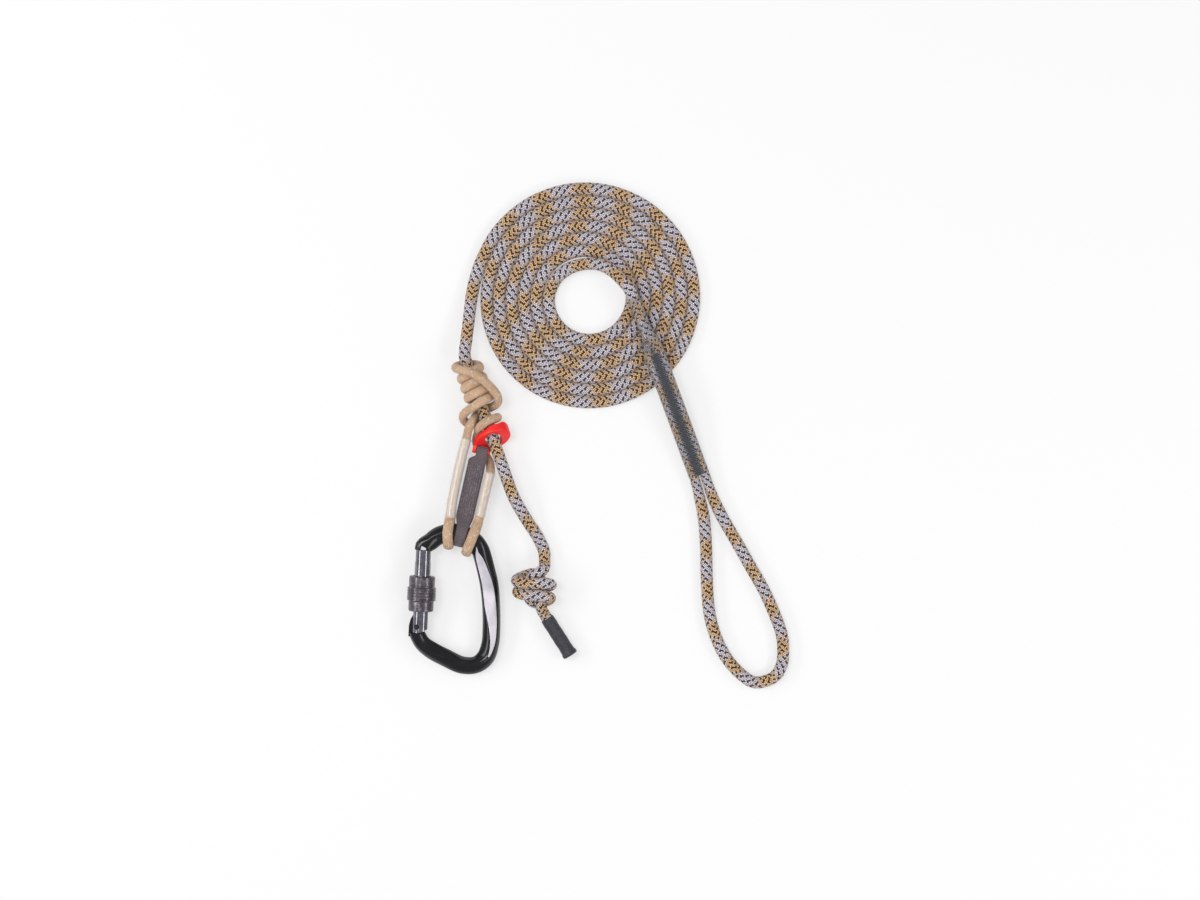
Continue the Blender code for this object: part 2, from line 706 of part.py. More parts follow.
def hitch_points():
    over = [axis_point(*point) for point in HITCH_OVER_ROUTE]
    top = [round_axis(*point) for point in HITCH_TOP_ROUTE]
    step = 360 / WRAP_POINTS_PER_LOOP
    angles = np.arange(WRAP_FIRST_DEGREES, WRAP_LAST_DEGREES - 1, -step)
    wraps = []
    for angle in angles:
        along = WRAP_START + WRAP_PITCH * (WRAP_FIRST_DEGREES - angle) / 360
        wraps.append(round_axis(along / MM, angle, WRAP_RADIUS / MM))
    under = [axis_point(*point) for point in HITCH_UNDER_ROUTE]
    return smooth_route(over + top + wraps + under, 0.0022)


def build_hitch():
    points = hitch_points()
    report_gap("hitch_wraps", points, HITCH_CORD_DIAMETER)
    return tube("hitch_wraps", points, HITCH_CORD_DIAMETER, HITCH, ROOT, sides=6)


class Leg:
    # One sewn leg: a doubled cord from the hitch, its eye round the carabiner's bar

    def __init__(self, route, tip_way, tip_reach, back_reach):
        self.route = smooth_route([Vector((x, y, 0)) * MM for x, y in route], 0.002)
        self.tip_way = Vector((*tip_way, 0)).normalized()
        self.bar = bar_point_under(self.route[0])
        self.tip_reach = tip_reach
        self.back_reach = back_reach

    def length(self):
        return sum((b - a).length for a, b in zip(self.route, self.route[1:]))

    def plan(self, distance):
        # Place in plan at a distance up the leg from the bar, negative past it
        if distance < 0:
            return self.route[0] - self.tip_way * distance
        run = 0.0
        for a, b in zip(self.route, self.route[1:]):
            step = (b - a).length
            if run + step >= distance:
                return a.lerp(b, (distance - run) / step)
            run += step
        return b

    def point(self, distance, above=0.0, side=0.0):
        place = self.plan(distance)
        share = ease(distance, 0.012, self.length() * 0.8)
        height = self.bar.z + (LEG_HEIGHT - self.bar.z) * share
        way = (self.plan(distance + 0.001) - self.plan(distance - 0.001)).normalized()
        across = Vector((way.y, -way.x, 0.0))
        return place + across * side + Vector((0, 0, height + above))

    def eye(self):
        # Points round the bar, from the upper strand to the lower one
        tall = BAR_THICKNESS / 2 + EYE_CORD_DIAMETER / 2 + EYE_FIT
        half = LEG_STRAND_SPACING / 2
        points = [self.point(self.back_reach + 0.0016, half)]
        for degrees in range(36, 325, 18):
            angle = math.radians(degrees)
            reach = self.back_reach if math.cos(angle) > 0 else self.tip_reach
            points.append(self.point(reach * math.cos(angle), tall * math.sin(angle)))
        return points + [self.point(self.back_reach + 0.0016, -half)]


def build_leg(name, leg, top_reach, low_reach, upper_start=None, lower_end=None):
    half = LEG_STRAND_SPACING / 2
    near = leg.back_reach + 0.006
    upper = [leg.point(s, half) for s in np.linspace(top_reach, near, 7)]
    lower = [leg.point(s, -half) for s in np.linspace(near, low_reach, 7)]
    middle = upper[1:] + leg.eye() + lower[:-1]
    first, first_way = upper_start or (upper[0], way_between(upper[0], upper[1]))
    last, last_way = lower_end or (lower[-1], way_between(lower[-2], lower[-1]))
    points = butted_route(first, first_way, middle, last, last_way, LEG_CORD_DIAMETER * 0.62)
    thin = EYE_CORD_DIAMETER / LEG_CORD_DIAMETER
    scales = []
    for point in points:
        distance = (Vector((point.x, point.y, 0)) - leg.route[0]).length
        scales.append(thin + (1 - thin) * ease(distance, leg.back_reach, near))
    return tube(name, points, LEG_CORD_DIAMETER, HITCH, ROOT, scales=scales)


def build_leg_trim(side, leg, foot, head):
    lateral = LEG_CORD_DIAMETER / 2 - 0.0002
    flange = lateral + LEG_STITCH_FLANGE
    web = LEG_STITCH_WEB / 2
    tall = LEG_STITCH_HEIGHT / 2
    section = [
        (-flange, -tall), (-lateral, -tall), (-lateral, -web), (lateral, -web),
        (lateral, -tall), (flange, -tall), (flange, tall), (lateral, tall),
        (lateral, web), (-lateral, web), (-lateral, tall), (-flange, tall),
    ]
    stitch_rings = [[leg.point(s, above, across) for across, above in section]
                    for s in np.linspace(foot + 0.001, head - LEG_STITCH_END, 6)]
    data = loft_data(side + "_leg_stitching", stitch_rings)
    add_object(side + "_leg_stitching", data, ROOT, THREAD_CREAM)
    half_width = flange + CLEARANCE + LEG_SLEEVE_WALL / 2
    half_height = (LEG_STRAND_SPACING + LEG_CORD_DIAMETER) / 2 + CLEARANCE + LEG_SLEEVE_WALL / 2
    outline = stadium(half_width, half_height)
    rings = [[leg.point(s, above, across) for across, above in outline]
             for s in np.linspace(foot, head, 7)]
    return shell(side + "_leg_sleeve", rings, LEG_SLEEVE_WALL, SHRINK_CLEAR)


def build_legs():
    hitch = hitch_points()
    reach = BAR_WIDTH / 2 + EYE_CORD_DIAMETER / 2 + EYE_FIT
    left = Leg(LEFT_LEG_ROUTE, LEFT_TIP_WAY, reach + 0.0001, reach + 0.0001)
    right = Leg(RIGHT_LEG_ROUTE, RIGHT_TIP_WAY, reach + 0.0010, reach + 0.0006)
    left_way = way_between(hitch[1], hitch[0])
    left_start = (hitch[0] + left_way * CLEARANCE, left_way)
    build_leg("left_leg", left, left.length() - 0.0004, left.length() - 0.001,
              upper_start=left_start)
    right_way = way_between(hitch[-1], hitch[-2])
    right_end = (hitch[-1] - right_way * CLEARANCE, right_way)
    build_leg("right_leg", right, right.length() - 0.001, right.length() - 0.0004,
              lower_end=right_end)
    build_leg_trim("left", left, reach + LEFT_SLEEVE_GAP * MM, left.length() - 0.0015)
    build_leg_trim("right", right, reach + RIGHT_SLEEVE_GAP * MM, right.length() - 0.0020)


# Carabiner frame

def carabiner_matrix():
    turn = Matrix.Rotation(math.radians(CARABINER_PITCH_DEGREES), 4, "X")
    roll = Matrix.Rotation(math.radians(CARABINER_ROLL_DEGREES), 4, "Y")
    return Matrix.Translation(CARABINER_PLACE) @ turn @ roll


def bar_point_under(plan_point):
    # Centre of the arch's bar straight below or above a point in plan
    matrix = carabiner_matrix()
    local = matrix.inverted() @ at_height(plan_point, matrix.translation.z)
    return matrix @ (Vector((local.x, local.y, 0)).normalized() * ARCH_RADIUS)


def superellipse(width, thickness, squareness):
    points = []
    for i in range(BODY_SECTION_POINTS):
        angle = 2 * math.pi * i / BODY_SECTION_POINTS
        c = math.cos(angle)
        s = math.sin(angle)
        x = width / 2 * math.copysign(abs(c) ** (2 / squareness), c)
        z = thickness / 2 * math.copysign(abs(s) ** (2 / squareness), s)
        points.append((x, z))
    return points


def gate_way():
    lean = math.radians(GATE_LEAN_DEGREES)
    return Vector((math.sin(lean), math.cos(lean), 0.0))


def gate_place(across, along):
    # Point of the carabiner's frame from the pin: across the gate, then along it
    way = gate_way()
    side = Vector((way.y, -way.x, 0.0))
    return Vector((*PIN_PLACE, 0.0)) + side * across + way * along


def body_stations():
    hinge = [(Vector((HINGE_END[0], HINGE_END[1], 0)) * MM, HINGE_END[2] * MM, HINGE_END[3])]
    spine = [(Vector((x, y, 0)) * MM, w * MM, q) for x, y, w, q in BODY_ROUTE]
    arch = []
    for degrees in np.linspace(ARCH_START_DEGREES, ARCH_END_DEGREES, 12):
        angle = math.radians(degrees)
        place = Vector((math.cos(angle), math.sin(angle), 0)) * ARCH_RADIUS
        arch.append((place, BAR_WIDTH, 2.0))
    nose_face = gate_place(GATE_OFFSET, GATE_ABOVE_PIN + NOSE_GAP)
    nose = [(nose_face + gate_way() * NOSE_DEPTH, NOSE_WIDTH, 2.8), (nose_face, NOSE_WIDTH, 3.2)]
    return hinge + spine + arch + nose


def build_carabiner_body():
    stations = body_stations()
    rows = [(*place, width, squareness) for place, width, squareness in stations]
    values = smooth_values(rows, 0.0038)
    rings = []
    for i, (x, y, z, width, squareness) in enumerate(values):
        before = values[max(0, i - 1)]
        after = values[min(len(values) - 1, i + 1)]
        way = Vector((after[0] - before[0], after[1] - before[1], 0)).normalized()
        if i in (0, len(values) - 1):
            way = -gate_way()
        side = Vector((way.y, -way.x, 0))
        section = superellipse(width, BAR_THICKNESS, squareness)
        rings.append([Vector((x, y, 0)) + side * across + Vector((0, 0, up))
                      for across, up in section])
    body = add_object("carabiner_body", loft_data("carabiner_body", rings),
                      CARABINER, ALUMINIUM_BLACK)
    nose_low = GATE_ABOVE_PIN + NOSE_GAP - TONGUE_LENGTH
    tongue = box_data("tongue", (-TONGUE_WIDTH / 2, nose_low, -TONGUE_THICKNESS / 2),
                      (TONGUE_WIDTH / 2, GATE_ABOVE_PIN + NOSE_GAP + 0.003, TONGUE_THICKNESS / 2))
    tongue.transform(gate_matrix() @ Matrix.Translation((GATE_OFFSET, 0, 0)))
    join(body, "tongue", tongue)
    tang = plate_data("tang", tang_outline(), TANG_THICKNESS)
    tang.transform(gate_matrix())
    join(body, "tang", tang)
    pin = Vector((*PIN_PLACE, 0))
    reach = Vector((0, 0, BAR_THICKNESS))
    hole = cylinder_data("pin_hole", PIN_DIAMETER / 2 + PIN_HOLE_FIT, pin - reach, pin + reach, 16)
    cut(body, "body_pin_hole", hole)
    return body


def tang_outline():
    # The cam top bears on the plunger, and its corner lifts the plunger as the gate opens
    angle = math.radians(TANG_CAM_DEGREES)
    corner = Vector((math.cos(angle), math.sin(angle))) * TANG_CAM_RADIUS
    outline = from_mm(TANG_OUTLINE)
    outline += [Vector((outline[-1].x, corner.y)), corner] + from_mm(TANG_FLANK)
    return [(point.x, point.y) for point in outline]


def smooth_values(rows, spacing):
    # As smooth_route, with the extra columns carried along by the distance in plan
    places = np.array(rows, dtype=float)
    padded = np.vstack([2 * places[0] - places[1], places, 2 * places[-1] - places[-2]])
    steps = np.sqrt(np.linalg.norm(np.diff(padded[:, :2], axis=0), axis=1))
    knots = np.concatenate([[0.0], np.cumsum(steps)])
    fine = []
    for i in range(1, len(padded) - 2):
        for t in np.linspace(knots[i], knots[i + 1], 10, endpoint=False):
            fine.append(curve_point(padded[i - 1:i + 3], knots[i - 1:i + 3], t))
    fine.append(padded[-2])
    fine = np.array(fine)
    runs = np.linalg.norm(np.diff(fine[:, :2], axis=0), axis=1)
    along = np.concatenate([[0.0], np.cumsum(runs)])
    wanted = np.linspace(0.0, along[-1], round(along[-1] / spacing) + 1)
    return np.array([np.interp(wanted, along, fine[:, c]) for c in range(fine.shape[1])]).T


def gate_matrix():
    # Frame on the pin's axis, Y along the gate
    turn = Matrix.Rotation(-math.radians(GATE_LEAN_DEGREES), 4, "Z")
    return Matrix.Translation((*PIN_PLACE, 0.0)) @ turn


def build_gate():
    radius = GATE_DIAMETER / 2
    foot = (GATE_OFFSET, -GATE_BELOW_PIN, 0)
    head = (GATE_OFFSET, GATE_ABOVE_PIN, 0)
    gate = add_object("gate", cylinder_data("gate", radius, foot, head, 28), GATE,
                      ALUMINIUM_BLACK)
    wide = GATE_DIAMETER
    top_half = TONGUE_THICKNESS / 2 + SLOT_FIT
    top_floor = GATE_ABOVE_PIN - TONGUE_LENGTH - 0.0008
    cut(gate, "nose_slot", box_data(
        "nose_slot", (-wide, top_floor, -top_half), (wide + GATE_OFFSET, GATE_ABOVE_PIN + wide,
                                                     top_half)))
    low_half = TANG_THICKNESS / 2 + SLOT_FIT
    cut(gate, "tang_slot", box_data(
        "tang_slot", (-wide, -wide, -low_half), (wide + GATE_OFFSET, TANG_SLOT_TOP, low_half)))
    cut(gate, "spring_bore", cylinder_data(
        "spring_bore", SPRING_BORE / 2, (GATE_OFFSET, SPRING_BORE_FOOT, 0),
        (GATE_OFFSET, SPRING_BORE_TOP, 0), 18))
    pin_reach = Vector((0, 0, GATE_DIAMETER))
    cut(gate, "gate_pin_hole", cylinder_data(
        "gate_pin_hole", PIN_DIAMETER / 2 + PIN_HOLE_FIT, -pin_reach, pin_reach, 16))
    heel = box_data("heel_cut", (-wide, -wide, -wide), (wide * 2, 0.0, wide))
    heel.transform(Matrix.Translation((HEEL_CORNER, -GATE_BELOW_PIN, 0))
                   @ Matrix.Rotation(math.radians(GATE_OPEN_DEGREES), 4, "Z"))
    cut(gate, "heel_cut", heel)
    return gate


def build_gate_inside():
    half = math.sqrt((GATE_DIAMETER / 2) ** 2 - GATE_OFFSET ** 2) - 0.0001
    pin = add_object("gate_pin", cylinder_data(
        "gate_pin", PIN_DIAMETER / 2, (0, 0, -half), (0, 0, half), 16), GATE, STEEL)
    shade(pin)
    cam_top = TANG_CAM_RADIUS * math.sin(math.radians(TANG_CAM_DEGREES))
    low = cam_top + CLEARANCE
    high = low + PLUNGER_LENGTH
    plunger = add_object("spring_plunger", cylinder_data(
        "spring_plunger", PLUNGER_DIAMETER / 2, (GATE_OFFSET, low, 0),
        (GATE_OFFSET, high, 0), 16), GATE, STEEL)
    shade(plunger)
    radius = (PLUNGER_DIAMETER - SPRING_WIRE) / 2
    start = high + CLEARANCE + SPRING_WIRE / 2
    end = SPRING_BORE_TOP - CLEARANCE - SPRING_WIRE / 2
    count = SPRING_TURNS * 8
    points = []
    for i in range(count + 1):
        angle = 2 * math.pi * i / 8
        along = start + (end - start) * i / count
        points.append(Vector((GATE_OFFSET + radius * math.cos(angle), along,
                              radius * math.sin(angle))))
    report_gap("gate_spring", points, SPRING_WIRE)
    tube("gate_spring", points, SPRING_WIRE, STEEL, GATE, sides=6)


def build_sleeve():
    bore = GATE_DIAMETER / 2 + SLEEVE_BORE_FIT
    top = bore + SLEEVE_TOP_WALL
    grip = bore + SLEEVE_GRIP_WALL
    low = bore + SLEEVE_LOW_WALL
    length = SLEEVE_LENGTH
    shoulder = length - SLEEVE_TOP_COLLAR
    bevel = SLEEVE_BEVEL
    groove = bore + RING_GROOVE_DEPTH
    groove_low = RING_GROOVE_PLACE
    groove_high = RING_GROOVE_PLACE + RING_GROOVE_HEIGHT
    profile = [
        (top - bevel, length), (top, length - bevel), (top, shoulder), (grip, shoulder - bevel),
        (grip, SLEEVE_LOW_COLLAR + bevel), (low, SLEEVE_LOW_COLLAR), (low, bevel),
        (low - bevel, 0.0), (bore, 0.0), (bore, groove_low), (groove, groove_low),
        (groove, groove_high), (bore, groove_high), (bore, length),
    ]
    place = (GATE_OFFSET, SLEEVE_PLACE, 0)
    lie = (-math.pi / 2, 0, 0)
    sleeve = turned("locking_sleeve", profile, 24, GATE, ALUMINIUM_GREY, place, lie)
    outer = groove - FRICTION_RING_FIT
    inner = GATE_DIAMETER / 2 + SLEEVE_BORE_FIT * 0.75
    ring = [
        (outer, groove_high - CLEARANCE), (outer, groove_low + CLEARANCE),
        (inner, groove_low + CLEARANCE), (inner, groove_high - CLEARANCE),
    ]
    turned("sleeve_friction_ring", ring, 24, GATE, RUBBER, place, lie)
    return sleeve


def ellipse(half_x, half_y, count, centre=(0.0, 0.0)):
    return [(centre[0] + half_x * math.cos(2 * math.pi * i / count),
             centre[1] + half_y * math.sin(2 * math.pi * i / count)) for i in range(count)]


def sling_frame():
    # Origin on the tender's bar, X along the bar, Y up the leg line, Z up
    return Matrix.Translation(TENDER_BAR_CENTRE) @ Matrix.Rotation(
        -math.radians(SLING_LEAN_DEGREES), 4, "Z")

def ring_matrix():
    # Frame of the tending ring: X to the right of the rope, Z along the ring's axis
    start, along, right = axis_frame()
    tilt = math.radians(TENDER_RING_TILT_DEGREES)
    normal = along * math.cos(tilt) + Vector((0, 0, math.sin(tilt)))
    turn = Matrix.Rotation(math.radians(TENDER_RING_TURN_DEGREES), 4, "Z")
    up = normal.cross(right)
    axes = Matrix((right, up, normal)).transposed().to_4x4()
    return Matrix.Translation(start + along * TENDER_RING_PLACE) @ axes @ turn


def build_tending_ring():
    tilt = math.radians(TENDER_RING_TILT_DEGREES)
    hole_x = ROPE_DIAMETER / 2 + TENDER_HOLE_SIDE_FIT
    hole_y = (ROPE_DIAMETER / 2 / math.cos(tilt) + TENDER_RING_THICKNESS / 2 * math.tan(tilt)
              + TENDER_HOLE_TILT_FIT)
    to_tender = TENDER_MATRIX.inverted()
    outline = ellipse(TENDER_RING_HALF_LENGTH, TENDER_RING_HALF_WIDTH, 36, (-0.0005, 0.0))
    plate = plate_data("tending_ring", outline, TENDER_RING_THICKNESS, TENDER_RING_EDGE)
    plate.transform(to_tender @ ring_matrix())
    ring = add_object("tending_ring", plate, TENDER, PLASTIC_RED)
    fold = TENDER_BAR_DIAMETER / 2 + CLEARANCE + WEBBING_THICKNESS + CLEARANCE
    room = TENDER_BAR_HALF_LENGTH - TENDER_CHEEK_THICKNESS
    cut(ring, "fold_space", cylinder_data(
        "fold_space", fold, (-room, 0, 0), (room, 0, 0), 20))
    for name, low, high, head, radius in (
            ("left_cheek", -TENDER_BAR_HALF_LENGTH - LEFT_CHEEK_EXTRA, -room,
             LEFT_CHEEK_HEAD, LEFT_CHEEK_RADIUS),
            ("right_cheek", room, TENDER_BAR_HALF_LENGTH, RIGHT_CHEEK_HEAD, RIGHT_CHEEK_RADIUS)):
        data = plate_data(name, capsule(Vector((0, 0)), Vector(head), radius), high - low)
        data.transform(Matrix.Translation(((low + high) / 2, 0, 0)) @ CHEEK_TURN)
        join(ring, name, data)
    reach = TENDER_BAR_HALF_LENGTH - 0.0002
    join(ring, "tender_bar", cylinder_data(
        "tender_bar", TENDER_BAR_DIAMETER / 2, (-reach, 0, 0), (reach, 0, 0), 14))
    hole = plate_data("tender_hole", ellipse(hole_x, hole_y, 28), TENDER_RING_THICKNESS * 3)
    hole.transform(to_tender @ ring_matrix() @ Matrix.Rotation(
        -math.radians(TENDER_RING_TURN_DEGREES), 4, "Z"))
    cut(ring, "tender_hole", hole)
    groove = cylinder_data("strand_groove", HITCH_CORD_DIAMETER / 2 + TENDER_GROOVE_FIT,
                           axis_point(*GROOVE_START), axis_point(*GROOVE_END), 16)
    groove.transform(to_tender)
    cut(ring, "strand_groove", groove)
    return ring

def capsule(start, end, radius):
    # Outline of a bar with round ends
    way = (end - start).normalized()
    side = Vector((-way.y, way.x))
    points = []
    for centre, sign in ((start, 1), (end, -1)):
        for i in range(7):
            angle = math.pi * i / 6
            points.append(centre + sign * radius * (side * math.cos(angle)
                                                    - way * math.sin(angle)))
    return [(point.x, point.y) for point in points]


def build_webbing():
    half = WEBBING_THICKNESS / 2
    layer = half + WEBBING_LAYER_GAP / 2
    fold = TENDER_BAR_DIAMETER / 2 + CLEARANCE + half
    frame = sling_frame()
    bar = frame.inverted() @ bar_point_under(frame @ Vector((0, -SLING_LENGTH, 0)))
    out_reach = BAR_WIDTH / 2 + WEBBING_FIT + half
    bow = (WEBBING_FOLD_WIDTH / 2) ** 2 / (2 * ARCH_RADIUS - BAR_WIDTH)
    in_reach = out_reach + bow
    tall = BAR_THICKNESS / 2 + WEBBING_FIT + half
    upper = [(0.0, fold), (-0.0030, fold * 0.86), (-0.0060, layer * 1.15), (-0.0100, layer),
             (-0.0200, layer), (-0.0320, layer), (-0.0440, layer), (-0.0475, layer * 1.5)]
    wrap = []
    for degrees in range(30, 181, 15):
        angle = math.radians(degrees)
        reach = out_reach if math.cos(angle) > 0 else in_reach
        wrap.append((bar.y + reach * math.cos(angle), bar.z + tall * math.sin(angle)))
    top_fold = [(fold * math.cos(math.radians(d)), fold * math.sin(math.radians(d)))
                for d in (0, 30, 60)]
    mirror = [(y, 2 * bar.z - z if y < WEBBING_BEND else -z)
              for y, z in reversed(upper + wrap[:-1])]
    path = top_fold + upper + wrap + mirror + [(y, -z) for y, z in reversed(top_fold[1:])]
    rings = []
    for y, z in path:
        lift = 0.0 if y < WEBBING_BEND else webbing_lift(y, bar.z)
        left, right = webbing_edges(y)
        rings.append([frame @ Vector((left, y, z + lift)), frame @ Vector((right, y, z + lift))])
    data = band_data("webbing_sling", rings)
    sling = add_object("webbing_sling", data, ROOT, WEBBING)
    solid = sling.modifiers.new("Thickness", "SOLIDIFY")
    solid.thickness = WEBBING_THICKNESS
    solid.offset = 0.0
    solid.use_even_offset = True
    build_webbing_stitching(frame, layer + half, bar.z)
    return sling


def webbing_lift(y, rise):
    # Climb of the flat layers from the tender's bar to the carabiner's
    return rise * ease(-y, 0.006, -WEBBING_BEND)


def webbing_edges(y):
    # Left and right edge of the webbing, narrowed at the tender's bar and at the carabiner
    fold_half = TENDER_BAR_HALF_LENGTH - TENDER_CHEEK_THICKNESS - CLEARANCE
    full = ease(-y, 0.0055, 0.0110)
    snug = ease(-y, 0.0455, 0.0550)
    centre = WEBBING_SIDE * full + (WEBBING_FOLD_SIDE - WEBBING_SIDE) * snug
    half = fold_half + (WEBBING_WIDTH / 2 - fold_half) * full
    half += (WEBBING_FOLD_WIDTH / 2 - half) * snug
    return centre - half, centre + half


def band_data(name, pairs):
    def build(mesh):
        rows = [[mesh.verts.new(point) for point in pair] for pair in pairs]
        for low, high in zip(rows, rows[1:] + rows[:1]):
            mesh.faces.new((low[0], low[1], high[1], high[0]))
    return mesh_from(build, name)


def build_webbing_stitching(frame, surface, rise):
    low = surface + CLEARANCE
    high = low + WEBBING_STITCH_THICKNESS
    half = WEBBING_STITCH_WIDTH / 2
    for sign, name in ((1, "webbing_stitching_front"), (-1, "webbing_stitching_back")):
        heights = sorted((sign * low, sign * high))
        rings = []
        for y in (-0.0115, -0.0200, -0.0300, -0.0435):
            lift = webbing_lift(y, rise)
            rings.append([frame @ Vector((WEBBING_SIDE + x, y, z + lift))
                          for x, z in ((-half, heights[0]), (half, heights[0]),
                                       (half, heights[1]), (-half, heights[1]))])
        add_object(name, loft_data(name, rings), ROOT, THREAD_GREY)


CORD_NODES = [
    "rope_coil", "rope_top_stretch", "rope_bottom_stretch", "stopper_knot", "rope_tail",
    "end_sleeve", "rope_eye", "eye_stitching", "eye_sleeve",
]


def stand_on_ground():
    # Moves the root so that the bottom centre of all but the rope is the origin
    bpy.context.view_layer.update()
    graph = bpy.context.evaluated_depsgraph_get()
    corners = []
    for item in PART.objects:
        if item.type == "EMPTY" or item.name in CORD_NODES:
            continue
        solid = item.evaluated_get(graph)
        mesh = solid.to_mesh()
        corners += [item.matrix_world @ vertex.co for vertex in mesh.vertices]
        solid.to_mesh_clear()
    places = np.array([tuple(corner) for corner in corners])
    low = places.min(axis=0)
    high = places.max(axis=0)
    ROOT.location = (-(low[0] + high[0]) / 2, -(low[1] + high[1]) / 2, -low[2])
    bpy.context.view_layer.update()
    print("root moved by", [round(value, 6) for value in ROOT.location])


def print_places():
    for name in ("carabiner_axis", "gate_axis", "tender_axis"):
        matrix = bpy.data.objects[name].matrix_world
        place = [round(value, 5) for value in matrix.translation]
        print(name, place, "z", [round(v, 5) for v in matrix.col[2][:3]],
              "y", [round(v, 5) for v in matrix.col[1][:3]],
              "x", [round(v, 5) for v in matrix.col[0][:3]])
    _, along, _ = axis_frame()
    print("hitch slides along", [round(value, 5) for value in along])


clear_scene()
PART = new_collection("tree_tether")
CUTTERS = new_collection("cutters")

ROPE = make_material("braided rope", (0.50, 0.42, 0.36), 0.85)
HITCH = make_material("braided cord", (0.48, 0.29, 0.14), 0.80)
WEBBING = make_material("woven webbing", (0.10, 0.08, 0.09), 0.90)
THREAD_GREY = make_material("grey thread", (0.19, 0.16, 0.19), 0.80)
THREAD_DARK = make_material("dark thread", (0.02, 0.02, 0.04), 0.70)
THREAD_CREAM = make_material("cream thread", (0.75, 0.66, 0.52), 0.70)
SHRINK_CLEAR = make_material("clear shrink tube", (0.80, 0.78, 0.76), 0.20)
SHRINK_BLACK = make_material("black shrink tube", (0.02, 0.02, 0.025), 0.45)
PLASTIC_RED = make_material("red plastic", (0.80, 0.03, 0.03), 0.40)
ALUMINIUM_BLACK = make_material("black anodised aluminium", (0.008, 0.008, 0.012), 0.25, 0.8)
ALUMINIUM_GREY = make_material("grey anodised aluminium", (0.07, 0.06, 0.07), 0.40, 0.8)
STEEL = make_material("stainless steel", (0.55, 0.55, 0.56), 0.30, 1.0)
RUBBER = make_material("black rubber", (0.015, 0.015, 0.015), 0.80)

ROOT = make_empty("tether_root", None)
CARABINER = make_empty("carabiner_axis", ROOT)
CARABINER.matrix_local = carabiner_matrix()
GATE = make_empty("gate_axis", CARABINER)
GATE.matrix_local = gate_matrix()
TENDER_MATRIX = sling_frame()
TENDER = make_empty("tender_axis", ROOT)
TENDER.matrix_local = TENDER_MATRIX

build_coil()
build_top_stretch()
build_bottom_stretch()
build_knot()
build_tail()
build_rope_eye()
build_eye_stitching()
build_eye_sleeve()
build_hitch()
build_legs()
build_webbing()
build_tending_ring()
build_carabiner_body()
build_gate()
build_gate_inside()
build_sleeve()
stand_on_ground()
print_places()
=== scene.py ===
# Tree tether laid flat and seen from above: coiled braided rope with a sewn eye, friction
# hitch with two sewn legs, tending ring on a webbing sling, and a screw-lock carabiner.

import math
import bpy
import bmesh
from mathutils import Matrix, Vector, noise


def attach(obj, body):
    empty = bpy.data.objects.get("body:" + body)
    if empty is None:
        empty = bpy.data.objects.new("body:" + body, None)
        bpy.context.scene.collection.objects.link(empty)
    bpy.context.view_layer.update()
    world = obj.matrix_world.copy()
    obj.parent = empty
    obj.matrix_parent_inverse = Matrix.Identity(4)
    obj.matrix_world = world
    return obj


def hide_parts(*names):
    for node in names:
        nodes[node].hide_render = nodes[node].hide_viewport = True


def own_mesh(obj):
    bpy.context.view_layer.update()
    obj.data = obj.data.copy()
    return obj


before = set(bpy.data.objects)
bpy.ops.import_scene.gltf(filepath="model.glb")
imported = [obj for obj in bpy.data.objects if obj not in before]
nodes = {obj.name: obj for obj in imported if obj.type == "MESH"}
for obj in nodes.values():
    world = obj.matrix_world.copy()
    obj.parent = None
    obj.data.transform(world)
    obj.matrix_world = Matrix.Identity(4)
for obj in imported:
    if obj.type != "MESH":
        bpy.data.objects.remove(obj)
scene = bpy.context.scene
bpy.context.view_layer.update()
millimetre = 0.001
rootMove = Vector((-0.000072, -0.001265, -0.000002))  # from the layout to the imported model
upward = Vector((0, 0, 1))
print("frame loaded")


# Small tools

def spot(x, y, z=0.0):
    # a place in millimetres of the layout
    return Vector((x, y, z)) * millimetre + rootMove


def ease(value, start, end):
    share = min(1.0, max(0.0, (value - start) / (end - start)))
    return share * share * (3 - 2 * share)


def routeLength(points):
    return sum((b - a).length for a, b in zip(points, points[1:]))


def alongRoute(points, distances):
    # the places at rising distances along a route
    placed, run, i = [], 0.0, 0
    for wanted in distances:
        step = (points[i + 1] - points[i]).length
        while run + step < wanted and i < len(points) - 2:
            run, i = run + step, i + 1
            step = (points[i + 1] - points[i]).length
        placed.append(points[i].lerp(points[i + 1], (wanted - run) / step))
    return placed


def curveThrough(points, apart, stepsBetween):
    # centripetal curve; apart measures two of its points, stepsBetween counts the steps between
    padded = [points[0] * 2 - points[1]] + list(points) + [points[-1] * 2 - points[-2]]
    fine = []
    for p0, p1, p2, p3 in zip(padded, padded[1:], padded[2:], padded[3:]):
        k1 = math.sqrt(apart(p0, p1))
        k2 = k1 + math.sqrt(apart(p1, p2))
        k3 = k2 + math.sqrt(apart(p2, p3))
        steps = stepsBetween(p1, p2)
        for i in range(steps):
            t = k1 + (k2 - k1) * i / steps
            inner = (t - k1) / (k2 - k1)
            a1, a2, a3 = p0.lerp(p1, t / k1), p1.lerp(p2, inner), p2.lerp(p3, (t - k2) / (k3 - k2))
            fine.append(a1.lerp(a2, t / k2).lerp(a2.lerp(a3, (t - k1) / (k3 - k1)), inner))
    return fine + [points[-1]]


def smoothRoute(points, spacing):
    fine = curveThrough(points, lambda a, b: (b - a).length, lambda a, b: 12)
    length = routeLength(fine)
    count = max(2, round(length / spacing))
    return alongRoute(fine, [length * k / count for k in range(count + 1)])


def flatWay(degrees):
    # a way over the floor, so many degrees right of straight down the photo, and its right side
    lean = math.radians(degrees)
    return Vector((math.sin(lean), -math.cos(lean), 0)), Vector((math.cos(lean), math.sin(lean), 0))


